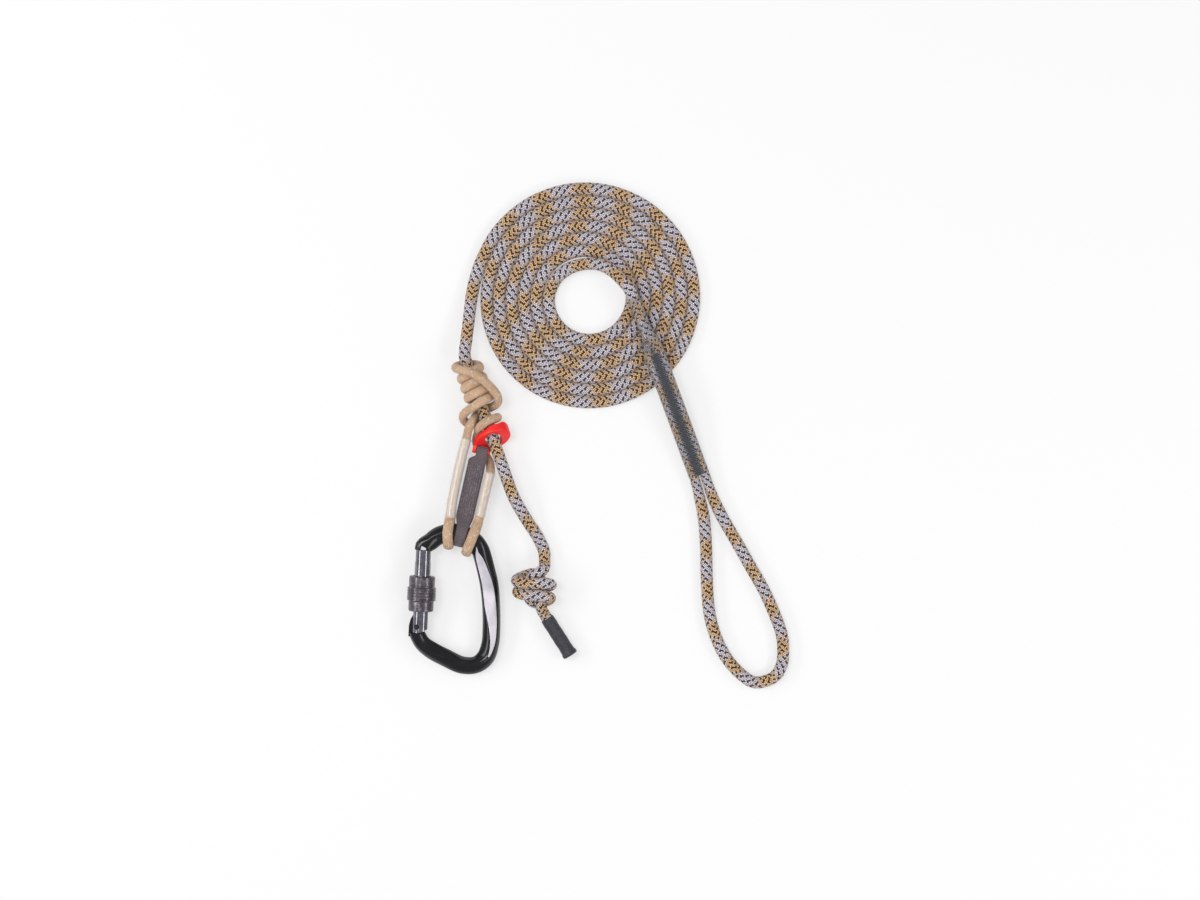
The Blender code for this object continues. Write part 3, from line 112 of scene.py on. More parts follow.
def hexColour(code):
    # sRGB hex to Blender's linear colour
    channels = [int(code[i:i + 2], 16) / 255 for i in (1, 3, 5)]
    return [c / 12.92 if c <= 0.04045 else ((c + 0.055) / 1.055) ** 2.4 for c in channels] + [1.0]


def newMaterial(name, sockets):
    material = bpy.data.materials.new(name)
    material.use_nodes = True
    surface = material.node_tree.nodes["Principled BSDF"]
    for socket, value in sockets.items():
        surface.inputs[socket].default_value = value
    return material, material.node_tree, surface


def addNode(tree, kind, settings=None, links=None):
    # a node, its settings by attribute or input name or number, and what its inputs come from
    node = tree.nodes.new("ShaderNode" + kind)
    for key, value in (settings or {}).items():
        if isinstance(key, str) and hasattr(node, key):
            setattr(node, key, value)
        else:
            node.inputs[key].default_value = value
    for key, source in (links or {}).items():
        if isinstance(source, bpy.types.Node):
            source = source.outputs[0]
        tree.links.new(source, node.inputs[key])
    return node


def bandStops(ramp, stops):
    # (place, hex colour) stops on a ColorRamp
    elements = ramp.color_ramp.elements
    while len(elements) > 1:
        elements.remove(elements[-1])
    elements[0].position, elements[0].color = stops[0][0], hexColour(stops[0][1])
    for place, code in stops[1:]:
        elements.new(place).color = hexColour(code)


def feed(surface, socket, node):
    surface.id_data.links.new(node.outputs[0], surface.inputs[socket])


def grainedMaterial(name, sockets, noises, tones=None, gloss=None, relief=None):
    # noises on Object coordinates (stretch is their Mapping's scale), and which of them makes the
    # tones (noise, stops), the gloss (noise, low, high) and the relief (noise, strength, depth)
    material, tree, surface = newMaterial(name, sockets)
    place = addNode(tree, "TexCoord").outputs["Object"]
    made = {}
    for key, settings in noises.items():
        settings = dict(settings)
        stretch = settings.pop("stretch", None)
        lie = addNode(tree, "Mapping", {"Scale": stretch}, {0: place}) if stretch else place
        made[key] = addNode(tree, "TexNoise", settings, {0: lie})
    if tones:
        ramp = addNode(tree, "ValToRGB", None, {0: made[tones[0]]})
        bandStops(ramp, tones[1])
        feed(surface, "Base Color", ramp)
    if gloss:
        feed(surface, "Roughness", addNode(
            tree, "MapRange", {1: 0.3, 2: 0.7, 3: gloss[1], 4: gloss[2]}, {0: made[gloss[0]]}))
    if relief:
        feed(surface, "Normal", addNode(
            tree, "Bump", {"Strength": relief[1], "Distance": relief[2]},
            {"Height": made[relief[0]]}))
    return material, tree, surface, made


def addObject(name, data):
    made = bpy.data.objects.new(name, data)
    scene.collection.objects.link(made)
    return made


def addMesh(name, bm, material):
    mesh = bpy.data.meshes.new(name)
    bm.to_mesh(mesh)
    bm.free()
    mesh.materials.append(material)
    return addObject(name, mesh)


def addPiece(name, bm, material, body, slot, *standsFor):
    piece = addMesh(name, bm, material)
    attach(piece, body)
    if standsFor:
        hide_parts(*standsFor)
    return piece


def newShape():
    bm = bmesh.new()
    bm.loops.layers.uv.new("UVMap")
    return bm


def smoothBut(bm, degrees):
    # smooth but for corners over so many degrees
    for face in bm.faces:
        face.smooth = True
    for edge in bm.edges:
        edge.smooth = edge.calc_face_angle(0.0) < math.radians(degrees)


def routeFrames(path):
    # (way, side, up) at each point, carried along without twist
    ways = []
    for i in range(len(path)):
        ways.append((path[min(i + 1, len(path) - 1)] - path[max(i - 1, 0)]).normalized())
    side = ways[0].cross(upward)
    side = side.normalized() if side.length > 0.1 else Vector((1, 0, 0))
    frames = []
    for i, way in enumerate(ways):
        if i:
            side = ways[i - 1].rotation_difference(way) @ side
        side = (side - way * side.dot(way)).normalized()
        frames.append((way, side, side.cross(way)))
    return frames


def rolledGrid(rings, turns=1.0, closeEnds=True):
    # a grid rolled up so that its columns follow the rings' points, UV once round and turns along
    sides, last = len(rings[0]), len(rings) - 1
    bm = newShape()
    bmesh.ops.create_grid(bm, x_segments=sides, y_segments=last, size=0.5, calc_uvs=True)
    seam = []
    for vert in bm.verts:
        column = round((vert.co.x + 0.5) * sides)
        vert.co = rings[round((vert.co.y + 0.5) * last)][column % sides]
        if column in (0, sides):
            seam.append(vert)
    uv = bm.loops.layers.uv.active
    for face in bm.faces:
        face.smooth = True
        for loop in face.loops:
            loop[uv].uv.y *= turns
    bmesh.ops.remove_doubles(bm, verts=seam, dist=1e-7)
    if closeEnds:
        bmesh.ops.holes_fill(bm, edges=[e for e in bm.edges if e.is_boundary], sides=sides)
    bmesh.ops.recalc_face_normals(bm, faces=bm.faces[:])
    return bm


def cordRings(path, sides, widthAt, reshape=None):
    # round rings along a path; reshape changes an offset from the centreline
    rings, run = [], 0.0
    for i, (way, side, up) in enumerate(routeFrames(path)):
        run += (path[i] - path[i - 1]).length if i else 0.0
        radius = widthAt(run, path[i]) / 2
        ring = []
        for k in range(sides):
            angle = 2 * math.pi * k / sides
            offset = (side * math.cos(angle) + up * math.sin(angle)) * radius
            if reshape:
                offset = reshape(offset, way, path[i])
            point = path[i] + offset
            point.z = max(point.z, 0.04 * millimetre)  # flat on the floor
            ring.append(point)
        rings.append(ring)
    return rings


def addCord(name, path, sizes, widthAt, reshape, material, body, slot, *standsFor):
    # a round cord along a path, its braid in pitches along it
    rings = cordRings(path, sizes["sides"], widthAt, reshape)
    length = routeLength(path)
    print(name, round(length, 3), "m")
    return addPiece(name, rolledGrid(rings, length / sizes["pitch"]), material, body, slot,
                    *standsFor)


# Camera, floor and lamps

studio = {
    "aim": (0.0965, 0.0460), "height": 2.061, "lens": 90.0, "sensor": 36.0, "farthest": 20.0,
    "floor": 3.0, "floorPlace": (0.1, 0.05, -0.00005), "floorTone": "#F4F4F5",
    "floorGlow": 0.55, "worldTone": "#FFFFFF", "worldLevel": 0.43,
    "lamps": [  # name, place, size, watts
        ("keySoftbox", (-0.70, 0.40, 2.30), (0.9, 0.9), 19.0),
        ("leftStrip", (-1.20, 0.10, 0.95), (1.3, 0.30), 6.4),
        ("rightStrip", (1.30, -0.10, 1.10), (1.2, 0.26), 5.2),
        ("lowSoftbox", (0.75, -0.95, 1.25), (0.8, 0.5), 4.6),
    ],
}


def whiteBoard():
    # Painted white board: even and matt, white to the camera, with the shadow kept
    paint, tree, surface = newMaterial("whitePaintedBoard", {
        "Base Color": hexColour(studio["floorTone"]), "Roughness": 0.9, "Specular IOR Level": 0.0})
    rays = addNode(tree, "LightPath")
    seen = rays.outputs["Is Camera Ray"]
    for ray in ("Is Glossy Ray", "Is Transmission Ray"):
        seen = addNode(tree, "Math", {"operation": "ADD", "use_clamp": True},
                       {0: seen, 1: rays.outputs[ray]})
    share = addNode(tree, "Math", {"operation": "MULTIPLY", 1: studio["floorGlow"]}, {0: seen})
    glow = addNode(tree, "Emission")
    both = addNode(tree, "MixShader", None, {0: share, 1: surface, 2: glow})
    tree.links.new(both.outputs[0], tree.nodes["Material Output"].inputs[0])
    return paint


def buildStudio():
    camera = bpy.data.cameras.new("camera")
    camera.lens, camera.sensor_width = studio["lens"], studio["sensor"]
    camera.clip_end = studio["farthest"]
    scene.camera = addObject("camera", camera)
    scene.camera.location = (*studio["aim"], studio["height"])
    bm = bmesh.new()
    bmesh.ops.create_grid(bm, x_segments=1, y_segments=1, size=studio["floor"],
                          matrix=Matrix.Translation(studio["floorPlace"]))
    addMesh("floor", bm, whiteBoard())
    world = bpy.data.worlds.new("paleStudio")
    world.use_nodes = True
    scene.world = world
    sky = world.node_tree.nodes["Background"]
    sky.inputs[0].default_value = hexColour(studio["worldTone"])
    sky.inputs[1].default_value = studio["worldLevel"]
    target = Vector((*studio["aim"], 0.0))
    for name, place, size, watts in studio["lamps"]:
        light = bpy.data.lights.new(name, "AREA")
        light.shape, light.energy = "RECTANGLE", watts
        light.size, light.size_y = size
        lamp = addObject(name, light)
        lamp.location = place
        lamp.rotation_mode = "QUATERNION"
        lamp.rotation_quaternion = (Vector(place) - target).to_track_quat("Z", "Y")
    scene.view_settings.view_transform = "Standard"


buildStudio()
print("studio built")


# Braided cords

def braidedCord(name, carriers, leftHand, rightHand, shade, fibre, bumpDepth):
    # Braided polyester: strands over two and under two, each a bundle of fine fibres, so the eye
    # sees small slanting grains, with painted shade darkening the grooves between them. U is once
    # round, V in braid pitches.
    material, tree, surface = newMaterial(name, {
        "Roughness": 0.72, "Specular IOR Level": 0.28, "Sheen Weight": 0.10,
        "Sheen Roughness": 0.6})
    place = addNode(tree, "TexCoord").outputs["UV"]
    parts = addNode(tree, "SeparateXYZ", None, {0: place})
    u, v = (addNode(tree, "Math", {"operation": "MULTIPLY", 1: float(carriers)}, {0: part})
            for part in parts.outputs[:2])
    a, b = (addNode(tree, "Math", {"operation": way}, {0: u, 1: v}) for way in ("ADD", "SUBTRACT"))
    aCell, bCell = (addNode(tree, "Math", {"operation": "FLOOR"}, {0: n}) for n in (a, b))
    aPart, bPart = (addNode(tree, "Math", {"operation": "FRACT"}, {0: n}) for n in (a, b))
    cells = addNode(tree, "Math", {"operation": "ADD"}, {0: aCell, 1: bCell})
    turn = addNode(tree, "Math", {"operation": "FLOORED_MODULO", 1: 4.0}, {0: cells})
    under = addNode(tree, "Math", {"operation": "GREATER_THAN", 1: 1.5}, {0: turn})
    # the strand on top: how far across it and along its float the point is
    across = addNode(tree, "Mix", {"data_type": "FLOAT"}, {0: under, 2: aPart, 3: bPart})
    step = addNode(tree, "Math", {"operation": "MULTIPLY_ADD", 1: -2.0}, {0: under, 2: turn})
    onward = addNode(tree, "Mix", {"data_type": "FLOAT"}, {0: under, 2: bPart, 3: aPart})
    along = addNode(tree, "Math", {"operation": "ADD"}, {0: step, 1: onward})
    bulges = []
    for distance, middle, top in ((across, 0.5, 0.0), (along, 1.0, 0.45)):
        away = addNode(tree, "Math", {"operation": "SUBTRACT", 1: middle}, {0: distance})
        away = addNode(tree, "Math", {"operation": "ABSOLUTE"}, {0: away})
        bulges.append(addNode(tree, "MapRange", {"interpolation_type": "SMOOTHERSTEP", 1: middle,
                                                 2: top, 3: 0.0, 4: 1.0}, {0: away}))
    height = addNode(tree, "Math", {"operation": "MULTIPLY"}, {0: bulges[0], 1: bulges[1]})
    colours = []
    for coordinate, stops in ((a, leftHand), (b, rightHand)):
        share = addNode(tree, "Math", {"operation": "DIVIDE", 1: float(carriers)},
                        {0: coordinate})
        share = addNode(tree, "Math", {"operation": "FRACT"}, {0: share})
        ramp = addNode(tree, "ValToRGB", None, {0: share})
        ramp.color_ramp.interpolation = "CONSTANT"
        bandStops(ramp, [(k / carriers, code) for k, code in stops])
        colours.append(ramp)
    strand = addNode(tree, "Mix", {"data_type": "RGBA"}, {0: under, 6: colours[0], 7: colours[1]})
    # fibres along each strand and slight dirt from handling
    body = addNode(tree, "TexCoord").outputs["Object"]
    wear = addNode(tree, "TexNoise", {"Scale": 160.0, "Detail": 4.0, "Roughness": 0.65}, {0: body})
    fine = addNode(tree, "TexNoise", {"Scale": 2600.0}, {0: body})
    wearTone = addNode(tree, "MapRange", {1: 0.3, 2: 0.7, 3: 0.90, 4: 1.10}, {0: wear})
    fineTone = addNode(tree, "MapRange", {1: 0.25, 2: 0.75, 3: 1.0 - fibre, 4: 1.0 + fibre},
                       {0: fine})
    # painted shade: the colour darkens towards the grooves between the strands, down to shade
    groove = addNode(tree, "MapRange", {1: 0.0, 2: 0.40, 3: shade, 4: 1.0}, {0: height})
    tone = addNode(tree, "Math", {"operation": "MULTIPLY"}, {0: wearTone, 1: fineTone})
    tone = addNode(tree, "Math", {"operation": "MULTIPLY"}, {0: tone, 1: groove})
    tinted = addNode(tree, "VectorMath", {"operation": "SCALE"},
                     {0: strand.outputs[2], "Scale": tone})
    feed(surface, "Base Color", tinted)
    relief = addNode(tree, "Math", {"operation": "MULTIPLY_ADD", 1: 0.18}, {0: fine, 2: height})
    feed(surface, "Normal", addNode(tree, "Bump", {"Strength": 0.9, "Distance": bumpDepth},
                                    {"Height": relief}))
    return material


# Carriers numbered round the rope: a grey side with lone brown tracers, a tan side with pairs
greyStrand, brownStrand, tanStrand = "#F8F1FC", "#43241A", "#FFD4A2"
ropeTracers = [(0, greyStrand), (2, brownStrand), (3, greyStrand), (6, brownStrand),
               (7, greyStrand), (10, brownStrand), (11, tanStrand), (13, brownStrand),
               (14, tanStrand), (16, brownStrand), (17, tanStrand)]
ropeBraid = braidedCord("braidedPolyesterRope", 20, ropeTracers, ropeTracers, 0.18, 0.16, 0.00045)

mainRopeSizes = {
    "width": 0.0083, "rings": 0.0016, "sides": 20, "pitch": 0.028,
    # on the floor: height, spread, and where the flattening ends outwards and upwards
    "coilHeight": 0.0070, "coilSpread": 0.04, "coilRim": (0.079, 0.084),
    "coilTop": (0.0046, 0.0060),
    # in the sewn leg: width, where it narrows and widens, and which part of the rope it is
    "sewnWidth": 0.0068, "narrowing": (0.018, 0.036), "widening": 0.030, "sewnFrom": 2.05,
    "sewnReach": 0.09, "sewnHigh": 0.0124, "sewnLow": 0.0050, "sinksFrom": 0.0700,
    "parting": (0.020, 0.040), "lastStitch": 0.0400, "eyeHeight": 4.05,
    "stations": [0.004 + 0.0105 * k for k in range(13)],  # down the sewn leg
}
coil = {"centre": (87.8, 151.2), "outer": 77.4, "pitch": 8.5, "start": 20, "loops": 5.96,
        "height": 3.52, "perLoop": 24, "lead": 0.008}
axisStart, sewnTop = spot(4.45, 110.3, 10.6), spot(119.2, 152.1, 0.0)
axisWay, axisSide = flatWay(19.0)
sewnWay, sewnSide = flatWay(20.4)
sewnLength, strandSpacing = 0.1308, 0.0075

topRoute = [(9.6, 158.0, 4.2), (8.0, 147.5, 5.6), (6.6, 134.9, 7.6), (5.2, 122.6, 9.4)]
bottomRoute = [(37.3, 15.8, 9.6), (42.1, 6.5, 7.6), (47.3, -2.1, 5.6), (52.4, -9.9, 4.4),
               (56.5, -17.5, 4.2), (58.3, -22.6, 4.7)]
riserRoute = [(66.9, 165.2, 4.2), (74.7, 171.3, 5.0), (84.9, 174.5, 6.6), (95.2, 174.3, 8.6),
              (104.1, 170.2, 10.3), (111.3, 163.7, 11.6), (116.3, 157.6, 12.1)]
eyeRoute = [(173.3, 16.6), (179.5, 3.0), (188.6, -12.9), (198.9, -31.1), (209.7, -50.4),
            (217.1, -67.4), (221.3, -79.9), (222.2, -89.6), (221.1, -100.4), (216.5, -107.8),
            (209.1, -111.4), (201.2, -111.7), (192.1, -105.5), (183.6, -95.8), (176.7, -82.7),
            (172.9, -70.8), (170.7, -57.2), (169.7, -36.8), (169.3, -19.7), (167.9, -0.4),
            (164.4, 16.6)]
# Knot's points: right, up and out from its centre
knotCentre, knotSize = (51.7, -47.3, 11.5), 0.93
knotRoute = [
    (7.5, 21.0, -6.6), (7.5, 18.0, -6.2), (7.0, 14.6, -2.9), (4.0, 11.9, 2.0), (-1.2, 8.6, 2.2),
    (-3.9, 3.6, 0.2), (-3.9, -1.0, 0.0), (-3.9, -5.6, -0.8), (-2.0, -9.6, -4.0),
    (2.8, -10.8, -7.4), (8.4, -9.4, -6.4), (11.6, -7.4, -1.4), (9.4, -5.8, 5.2),
    (2.6, -4.8, 8.0), (-4.8, -4.4, 7.6), (-10.8, -3.4, 3.4), (-11.9, -2.0, -2.8),
    (-6.2, -0.6, -7.6), (0.8, 0.2, -8.6), (7.6, 1.0, -7.8), (12.2, 2.4, -1.6),
    (10.2, 3.6, 4.8), (3.6, 4.0, 8.2), (-4.2, 4.0, 7.9), (-10.8, 4.8, 4.6),
    (-13.0, 6.0, -1.6), (-8.8, 8.2, -7.0), (-2.2, 10.2, -9.2), (2.8, 9.4, -6.2),
    (4.4, 5.2, -2.6), (4.2, 1.0, 0.2), (3.9, -3.8, 0.4), (4.0, -9.0, 0.6),
    (4.6, -13.2, -1.0), (6.0, -16.8, -3.2), (7.6, -19.6, -4.6),
]
tailEnd = spot(76.4, -93.3, 5.3)


def axisPoint(along, right=0.0, above=0.0):
    # a place by the hitch's own line, in millimetres along it, right of it and above it
    return axisStart + (axisWay * along + axisSide * right + upward * above) * millimetre


def coilPoint(degrees):
    radius = coil["outer"] - coil["pitch"] * degrees / 360
    angle = math.radians(degrees)
    return spot(coil["centre"][0] - radius * math.cos(angle),
                coil["centre"][1] + radius * math.sin(angle), coil["height"])


def sewnPoint(distance, side=0.0, above=0.0):
    high, low = mainRopeSizes["sewnHigh"], mainRopeSizes["sewnLow"]
    height = high + (low - high) * ease(distance, mainRopeSizes["sinksFrom"], sewnLength)
    return sewnTop + sewnWay * distance + sewnSide * side + upward * (height + above)


def coilPath():
    first, last = coil["start"], coil["start"] + 360 * coil["loops"]
    count = round(coil["loops"] * coil["perLoop"])
    points = [coilPoint(first + (last - first) * i / count) for i in range(count + 1)]
    for place, hand, degrees in ((0, -1, first), (-1, 1, last + 15)):  # a short straight lead
        angle = math.radians(degrees)
        lead = points[place] + Vector((math.sin(angle), math.cos(angle), 0)) * hand * coil["lead"]
        points.insert(0 if place == 0 else len(points), lead)
    return points


def mainRopePath():
    sizes = mainRopeSizes
    points = [axisPoint(along) for along in (24.0, 16.0, 8.0, -1.0)]
    points += [spot(*p) for p in reversed(topRoute)] + coilPath() + [spot(*p) for p in riserRoute]
    points += [sewnPoint(s, strandSpacing / 2 * ease(s, *sizes["parting"]))
               for s in sizes["stations"]]
    points += [spot(x, y, sizes["eyeHeight"]) for x, y in eyeRoute]
    points += [sewnPoint(sewnLength + (sizes["lastStitch"] - sewnLength) * k / 8,
                         -strandSpacing / 2) for k in range(9)]
    return smoothRoute(points, sizes["rings"])


def buildMainRope():
    sizes, path = mainRopeSizes, mainRopePath()
    coilMiddle = spot(*coil["centre"])

    def widthAt(run, point):
        # narrower where the two strands are pressed together in the sewn leg
        distance, side = (point - sewnTop).dot(sewnWay), (point - sewnTop).dot(sewnSide)
        if run < sizes["sewnFrom"] or abs(side) > sizes["sewnReach"]:
            return sizes["width"]
        pressed = ease(distance, *sizes["narrowing"])
        pressed *= 1 - ease(distance, sewnLength, sewnLength + sizes["widening"])
        return sizes["width"] + (sizes["sewnWidth"] - sizes["width"]) * pressed

    def reshape(offset, way, point):
        # the coil's turns lie a little flattened on the floor
        flat = 1 - ease((point - coilMiddle).to_2d().length, *sizes["coilRim"])
        flat *= 1 - ease(point.z, *sizes["coilTop"])
        spread = 1 + sizes["coilSpread"] * flat
        squeeze = 1 + (sizes["coilHeight"] / sizes["width"] - 1) * flat
        return Vector((offset.x * spread, offset.y * spread, offset.z * squeeze))

    return addCord("mainRope", path, sizes, widthAt, reshape, ropeBraid, "rope", "rope",
                   "rope_top_stretch", "rope_coil", "rope_eye"), path


mainRope, mainPath = buildMainRope()

tailRopeSizes = {"width": 0.0083, "knotWidth": 0.0079, "rings": 0.0014, "sides": 20,
                 "pitch": 0.028, "knotTop": -28.0, "knotFoot": -66.0, "blend": 0.004}


def tailRopePath():
    points = [axisPoint(x) for x in (24.0, 32.0, 40.0, 56.0, 72.0, 88.0)]
    points += [spot(*p) for p in bottomRoute]
    centre = spot(*knotCentre)
    points += [centre + Vector(p) * knotSize * millimetre for p in knotRoute]
    points += [tailEnd.lerp(points[-1], share) for share in (0.5, 0.04)]
    return smoothRoute(points, tailRopeSizes["rings"])


def buildTailRope():
    sizes, path = tailRopeSizes, tailRopePath()
    top, foot = spot(0, sizes["knotTop"]).y, spot(0, sizes["knotFoot"]).y

    def widthAt(run, point):
        inKnot = ease(point.y, foot - sizes["blend"], foot)
        inKnot *= 1 - ease(point.y, top, top + sizes["blend"])
        return sizes["width"] + (sizes["knotWidth"] - sizes["width"]) * inKnot

    return addCord("tailRope", path, sizes, widthAt, None, ropeBraid, "rope", "rope",
                   "rope_bottom_stretch", "stopper_knot", "rope_tail"), path


tailRope, tailPath = buildTailRope()

# Sleeves and stitching on the rope

endSleeveSizes = {"bore": 0.0041, "wall": 0.0006, "lip": 0.0006, "lipLength": 0.0022,
                  "lipEdge": 0.0004, "lipFoot": 0.0031, "start": 0.0015, "cap": 0.002,
                  "rings": 12, "wobble": (0.00008, 0.00005), "slack": 0.0002, "step": 0.0001,
                  "steps": 40}


def shrinkBlack():
    # Adhesive-lined black shrink tube, heated onto the rope: matt, faintly mottled, rope grain
    # just showing through
    material, tree, surface, noises = grainedMaterial(
        "blackShrinkTube", {"Roughness": 0.52, "Specular IOR Level": 0.5},
        {"mottle": {"Scale": 700.0, "Detail": 5.0, "Roughness": 0.7},
         "soft": {"Scale": 180.0}},
        ("mottle", [(0.30, "#25252A"), (0.55, "#34343B"), (0.78, "#53535C")]))
    relief = addNode(tree, "Math", {"operation": "MULTIPLY_ADD", 1: 0.6},
                     {0: noises["soft"], 2: noises["mottle"]})
    feed(surface, "Normal", addNode(tree, "Bump", {"Strength": 0.5, "Distance": 0.00015},
                                    {"Height": relief}))
    return material


def spunShell(profile, steps, matrix, sharp=35):
    # (radius, height) outline spun round its own Z, closed, smooth but for corners over sharp
    bm = newShape()
    verts = [bm.verts.new((radius, 0, height)) for radius, height in profile]
    edges = [bm.edges.new((a, b)) for a, b in zip(verts, verts[1:] + verts[:1])]
    bmesh.ops.spin(bm, geom=verts + edges, cent=(0, 0, 0), axis=(0, 0, 1), dvec=(0, 0, 0),
                   angle=2 * math.pi, steps=steps, use_merge=True, use_normal_flip=False,
                   use_duplicate=False)
    bmesh.ops.remove_doubles(bm, verts=bm.verts[:], dist=1e-7)
    bmesh.ops.recalc_face_normals(bm, faces=bm.faces[:])
    uv = bm.loops.layers.uv.active
    for face in bm.faces:
        middle = face.calc_center_median()
        base = math.atan2(middle.y, middle.x)
        for loop in face.loops:
            turn = math.atan2(loop.vert.co.y, loop.vert.co.x) - base
            turn = (turn + math.pi) % (2 * math.pi) - math.pi
            loop[uv].uv = ((base + turn) / (2 * math.pi), loop.vert.co.z / 0.01)
    smoothBut(bm, sharp)
    bm.transform(matrix)
    return bm


def buildEndSleeve():
    sizes = endSleeveSizes
    centre = spot(*knotCentre)
    last, before = (centre + Vector(knotRoute[i]) * knotSize * millimetre for i in (-1, -2))
    bend = last + (last - before).normalized() * sizes["start"]
    axis = (tailEnd - bend).normalized()
    foot = bend + axis * sizes["start"]
    length = (tailEnd - foot).length
    outer = sizes["bore"] + sizes["wall"]
    lip, edge, lipFoot = outer + sizes["lip"], sizes["lipEdge"], length - sizes["lipFoot"]
    profile = [(0.0, length), (lip - edge, length), (lip, length - edge),
               (lip, length - sizes["lipLength"]), (outer + sizes["step"], lipFoot)]
    for k in range(1, sizes["rings"]):  # faint rings where the tube shrank unevenly
        wobble = (sizes["wobble"][0] * math.sin(k * 2.1) + sizes["wobble"][1] * math.sin(k * 5.3))
        profile.append((outer + wobble, lipFoot * (1 - k / sizes["rings"])))
    bore = sizes["bore"] - sizes["slack"]
    profile += [(outer - sizes["step"], 3 * sizes["step"]), (outer - edge, 0.0), (bore, 0.0),
                (bore, length - sizes["cap"]), (0.0, length - sizes["cap"])]
    turn = axis.to_track_quat("Z", "Y").to_matrix().to_4x4()
    bm = spunShell(profile, sizes["steps"], Matrix.Translation(foot) @ turn)
    return addPiece("endSleeve", bm, shrinkBlack(), "rope", "shrink_black", "end_sleeve")


endSleeve = buildEndSleeve()

eyeSleeveSizes = {"wall": 0.00035, "wrinkle": 0.00016, "rings": 90, "sides": 36,
                  "start": 0.0010, "end": 0.0005, "grows": (0.016, 0.040),
                  "single": (0.00452, 0.00450), "double": (0.00755, 0.00445),
                  "dip": 0.0004, "dipHalf": 0.0022}
eyeStitchSizes = {"thread": 0.00075, "pitch": 0.00060, "halfWidth": 0.0037, "ragged": 0.0011,
                  "start": 0.0425, "end": 0.1300, "strand": 0.00340, "bridge": 0.0027,
                  "above": 0.0002, "turnDip": 0.0003}


def stadiumPoints(halfWidth, halfHeight, sides):
    # two half circles joined by straights, evenly round, from the right-hand end
    radius = min(halfWidth, halfHeight)
    run = max(halfWidth, halfHeight) - radius
    points = []
    for k in range(sides):
        angle = 2 * math.pi * (k + 0.5) / sides
        x, y = radius * math.cos(angle), radius * math.sin(angle)
        if halfWidth > halfHeight:
            points.append((x + math.copysign(run, x), y))
        else:
            points.append((x, y + math.copysign(run, y)))
    return points


def clearShrink(name, alpha, tint):
    # Clear heat-shrink tube: thin glossy film drawn tight, seen by its highlights and folds
    material, tree, surface, noises = grainedMaterial(
        name, {"Base Color": hexColour(tint), "Roughness": 0.12, "IOR": 1.48,
               "Specular IOR Level": 1.0, "Coat Weight": 1.0, "Coat Roughness": 0.06,
               "Alpha": alpha},
        {"folds": {"Scale": 260.0, "Detail": 3.0, "Distortion": 0.6}},
        relief=("folds", 0.6, 0.00025))
    feed(surface, "Coat Normal", surface.inputs["Normal"].links[0].from_node)
    return material


eyeShrink = clearShrink("clearShrinkOverRope", 0.15, "#76767C")
legShrink = clearShrink("clearShrinkOverCord", 0.34, "#F8F3F0")


filmFolds = 420.0


def shrinkFilm(name, sizes, start, end, outlineAt, placeAt, material, body, replaced):
    # an open film from start to end, drawn round the outline at each place along, with small
    # folds, then given its thickness
    rings = []
    for i in range(sizes["rings"] + 1):
        along = start + (end - start) * i / sizes["rings"]
        ring, centre = [], placeAt(along, 0.0, 0.0)
        for x, y in outlineAt(along):
            point = placeAt(along, x, y)
            fold = noise.noise(point * filmFolds) * sizes["wrinkle"]
            ring.append(point + (point - centre).normalized() * fold)
        rings.append(ring)
    piece = addPiece(name, rolledGrid(rings, closeEnds=False), material, body, "shrink_clear",
                     replaced)
    solid = piece.modifiers.new("wall", "SOLIDIFY")
    solid.thickness, solid.offset = sizes["wall"], -1.0
    return piece


def eyeOutline(along):
    # grows from one strand to two, dips a little between them and hugs their sides
    sizes = eyeSleeveSizes
    share = ease(along, *sizes["grows"])
    width, height = (a + (b - a) * share for a, b in zip(sizes["single"], sizes["double"]))
    outline = []
    for x, y in stadiumPoints(width, height, sizes["sides"]):
        dip = sizes["dip"] * share * max(0.0, 1 - abs(x) / sizes["dipHalf"])
        outline.append((x, y - math.copysign(dip, y)))
    return outline


eyeSleeve = shrinkFilm("eyeSleeve", eyeSleeveSizes, eyeSleeveSizes["start"],
                       sewnLength - eyeSleeveSizes["end"], eyeOutline, sewnPoint, eyeShrink,
                       "rope", "eye_sleeve")


def sewingThread(name, tones, gloss):
    # Bonded polyester sewing thread: twisted plies, slightly waxy, with painted shade between the
    # plies and a painted highlight on their crowns
    material, tree, surface = newMaterial(name, {
        "Roughness": gloss, "Specular IOR Level": 0.30, "Sheen Weight": 0.05})
    parts = addNode(tree, "SeparateXYZ", None, {0: addNode(tree, "TexCoord").outputs["UV"]})
    twist = addNode(tree, "Math", {"operation": "ADD"}, {0: parts.outputs[0], 1: parts.outputs[1]})
    plies = addNode(tree, "Math", {"operation": "PINGPONG", 1: 0.5},
                    {0: addNode(tree, "Math", {"operation": "MULTIPLY", 1: 3.0}, {0: twist})})
    place = addNode(tree, "TexCoord").outputs["Object"]
    patches = addNode(tree, "TexNoise", {"Scale": 900.0, "Detail": 3.0}, {0: place})
    ramp = addNode(tree, "ValToRGB", None, {0: patches})
    bandStops(ramp, list(zip((0.32, 0.52, 0.72), tones)))
    # painted shade and highlight: the colour is darker between the plies and a little brighter on
    # their crowns
    lit = addNode(tree, "MapRange", {1: 0.0, 2: 0.35, 3: 0.72, 4: 1.05}, {0: plies})
    shaded = addNode(tree, "VectorMath", {"operation": "SCALE"},
                     {0: ramp.outputs[0], "Scale": lit})
    feed(surface, "Base Color", shaded)
    feed(surface, "Normal", addNode(tree, "Bump", {"Strength": 0.7, "Distance": 0.00008},
                                    {"Height": plies}))
    return material


navyThread = sewingThread("bondedThreadNavy", ("#141A26", "#1E2635", "#3E4858"), 0.6)
creamThread = sewingThread("bondedThreadCream", ("#D8B890", "#F0D8B2", "#FFF2DC"), 0.55)
greyThread = sewingThread("bondedThreadGrey", ("#554B50", "#7A7076", "#A9A0A5"), 0.5)


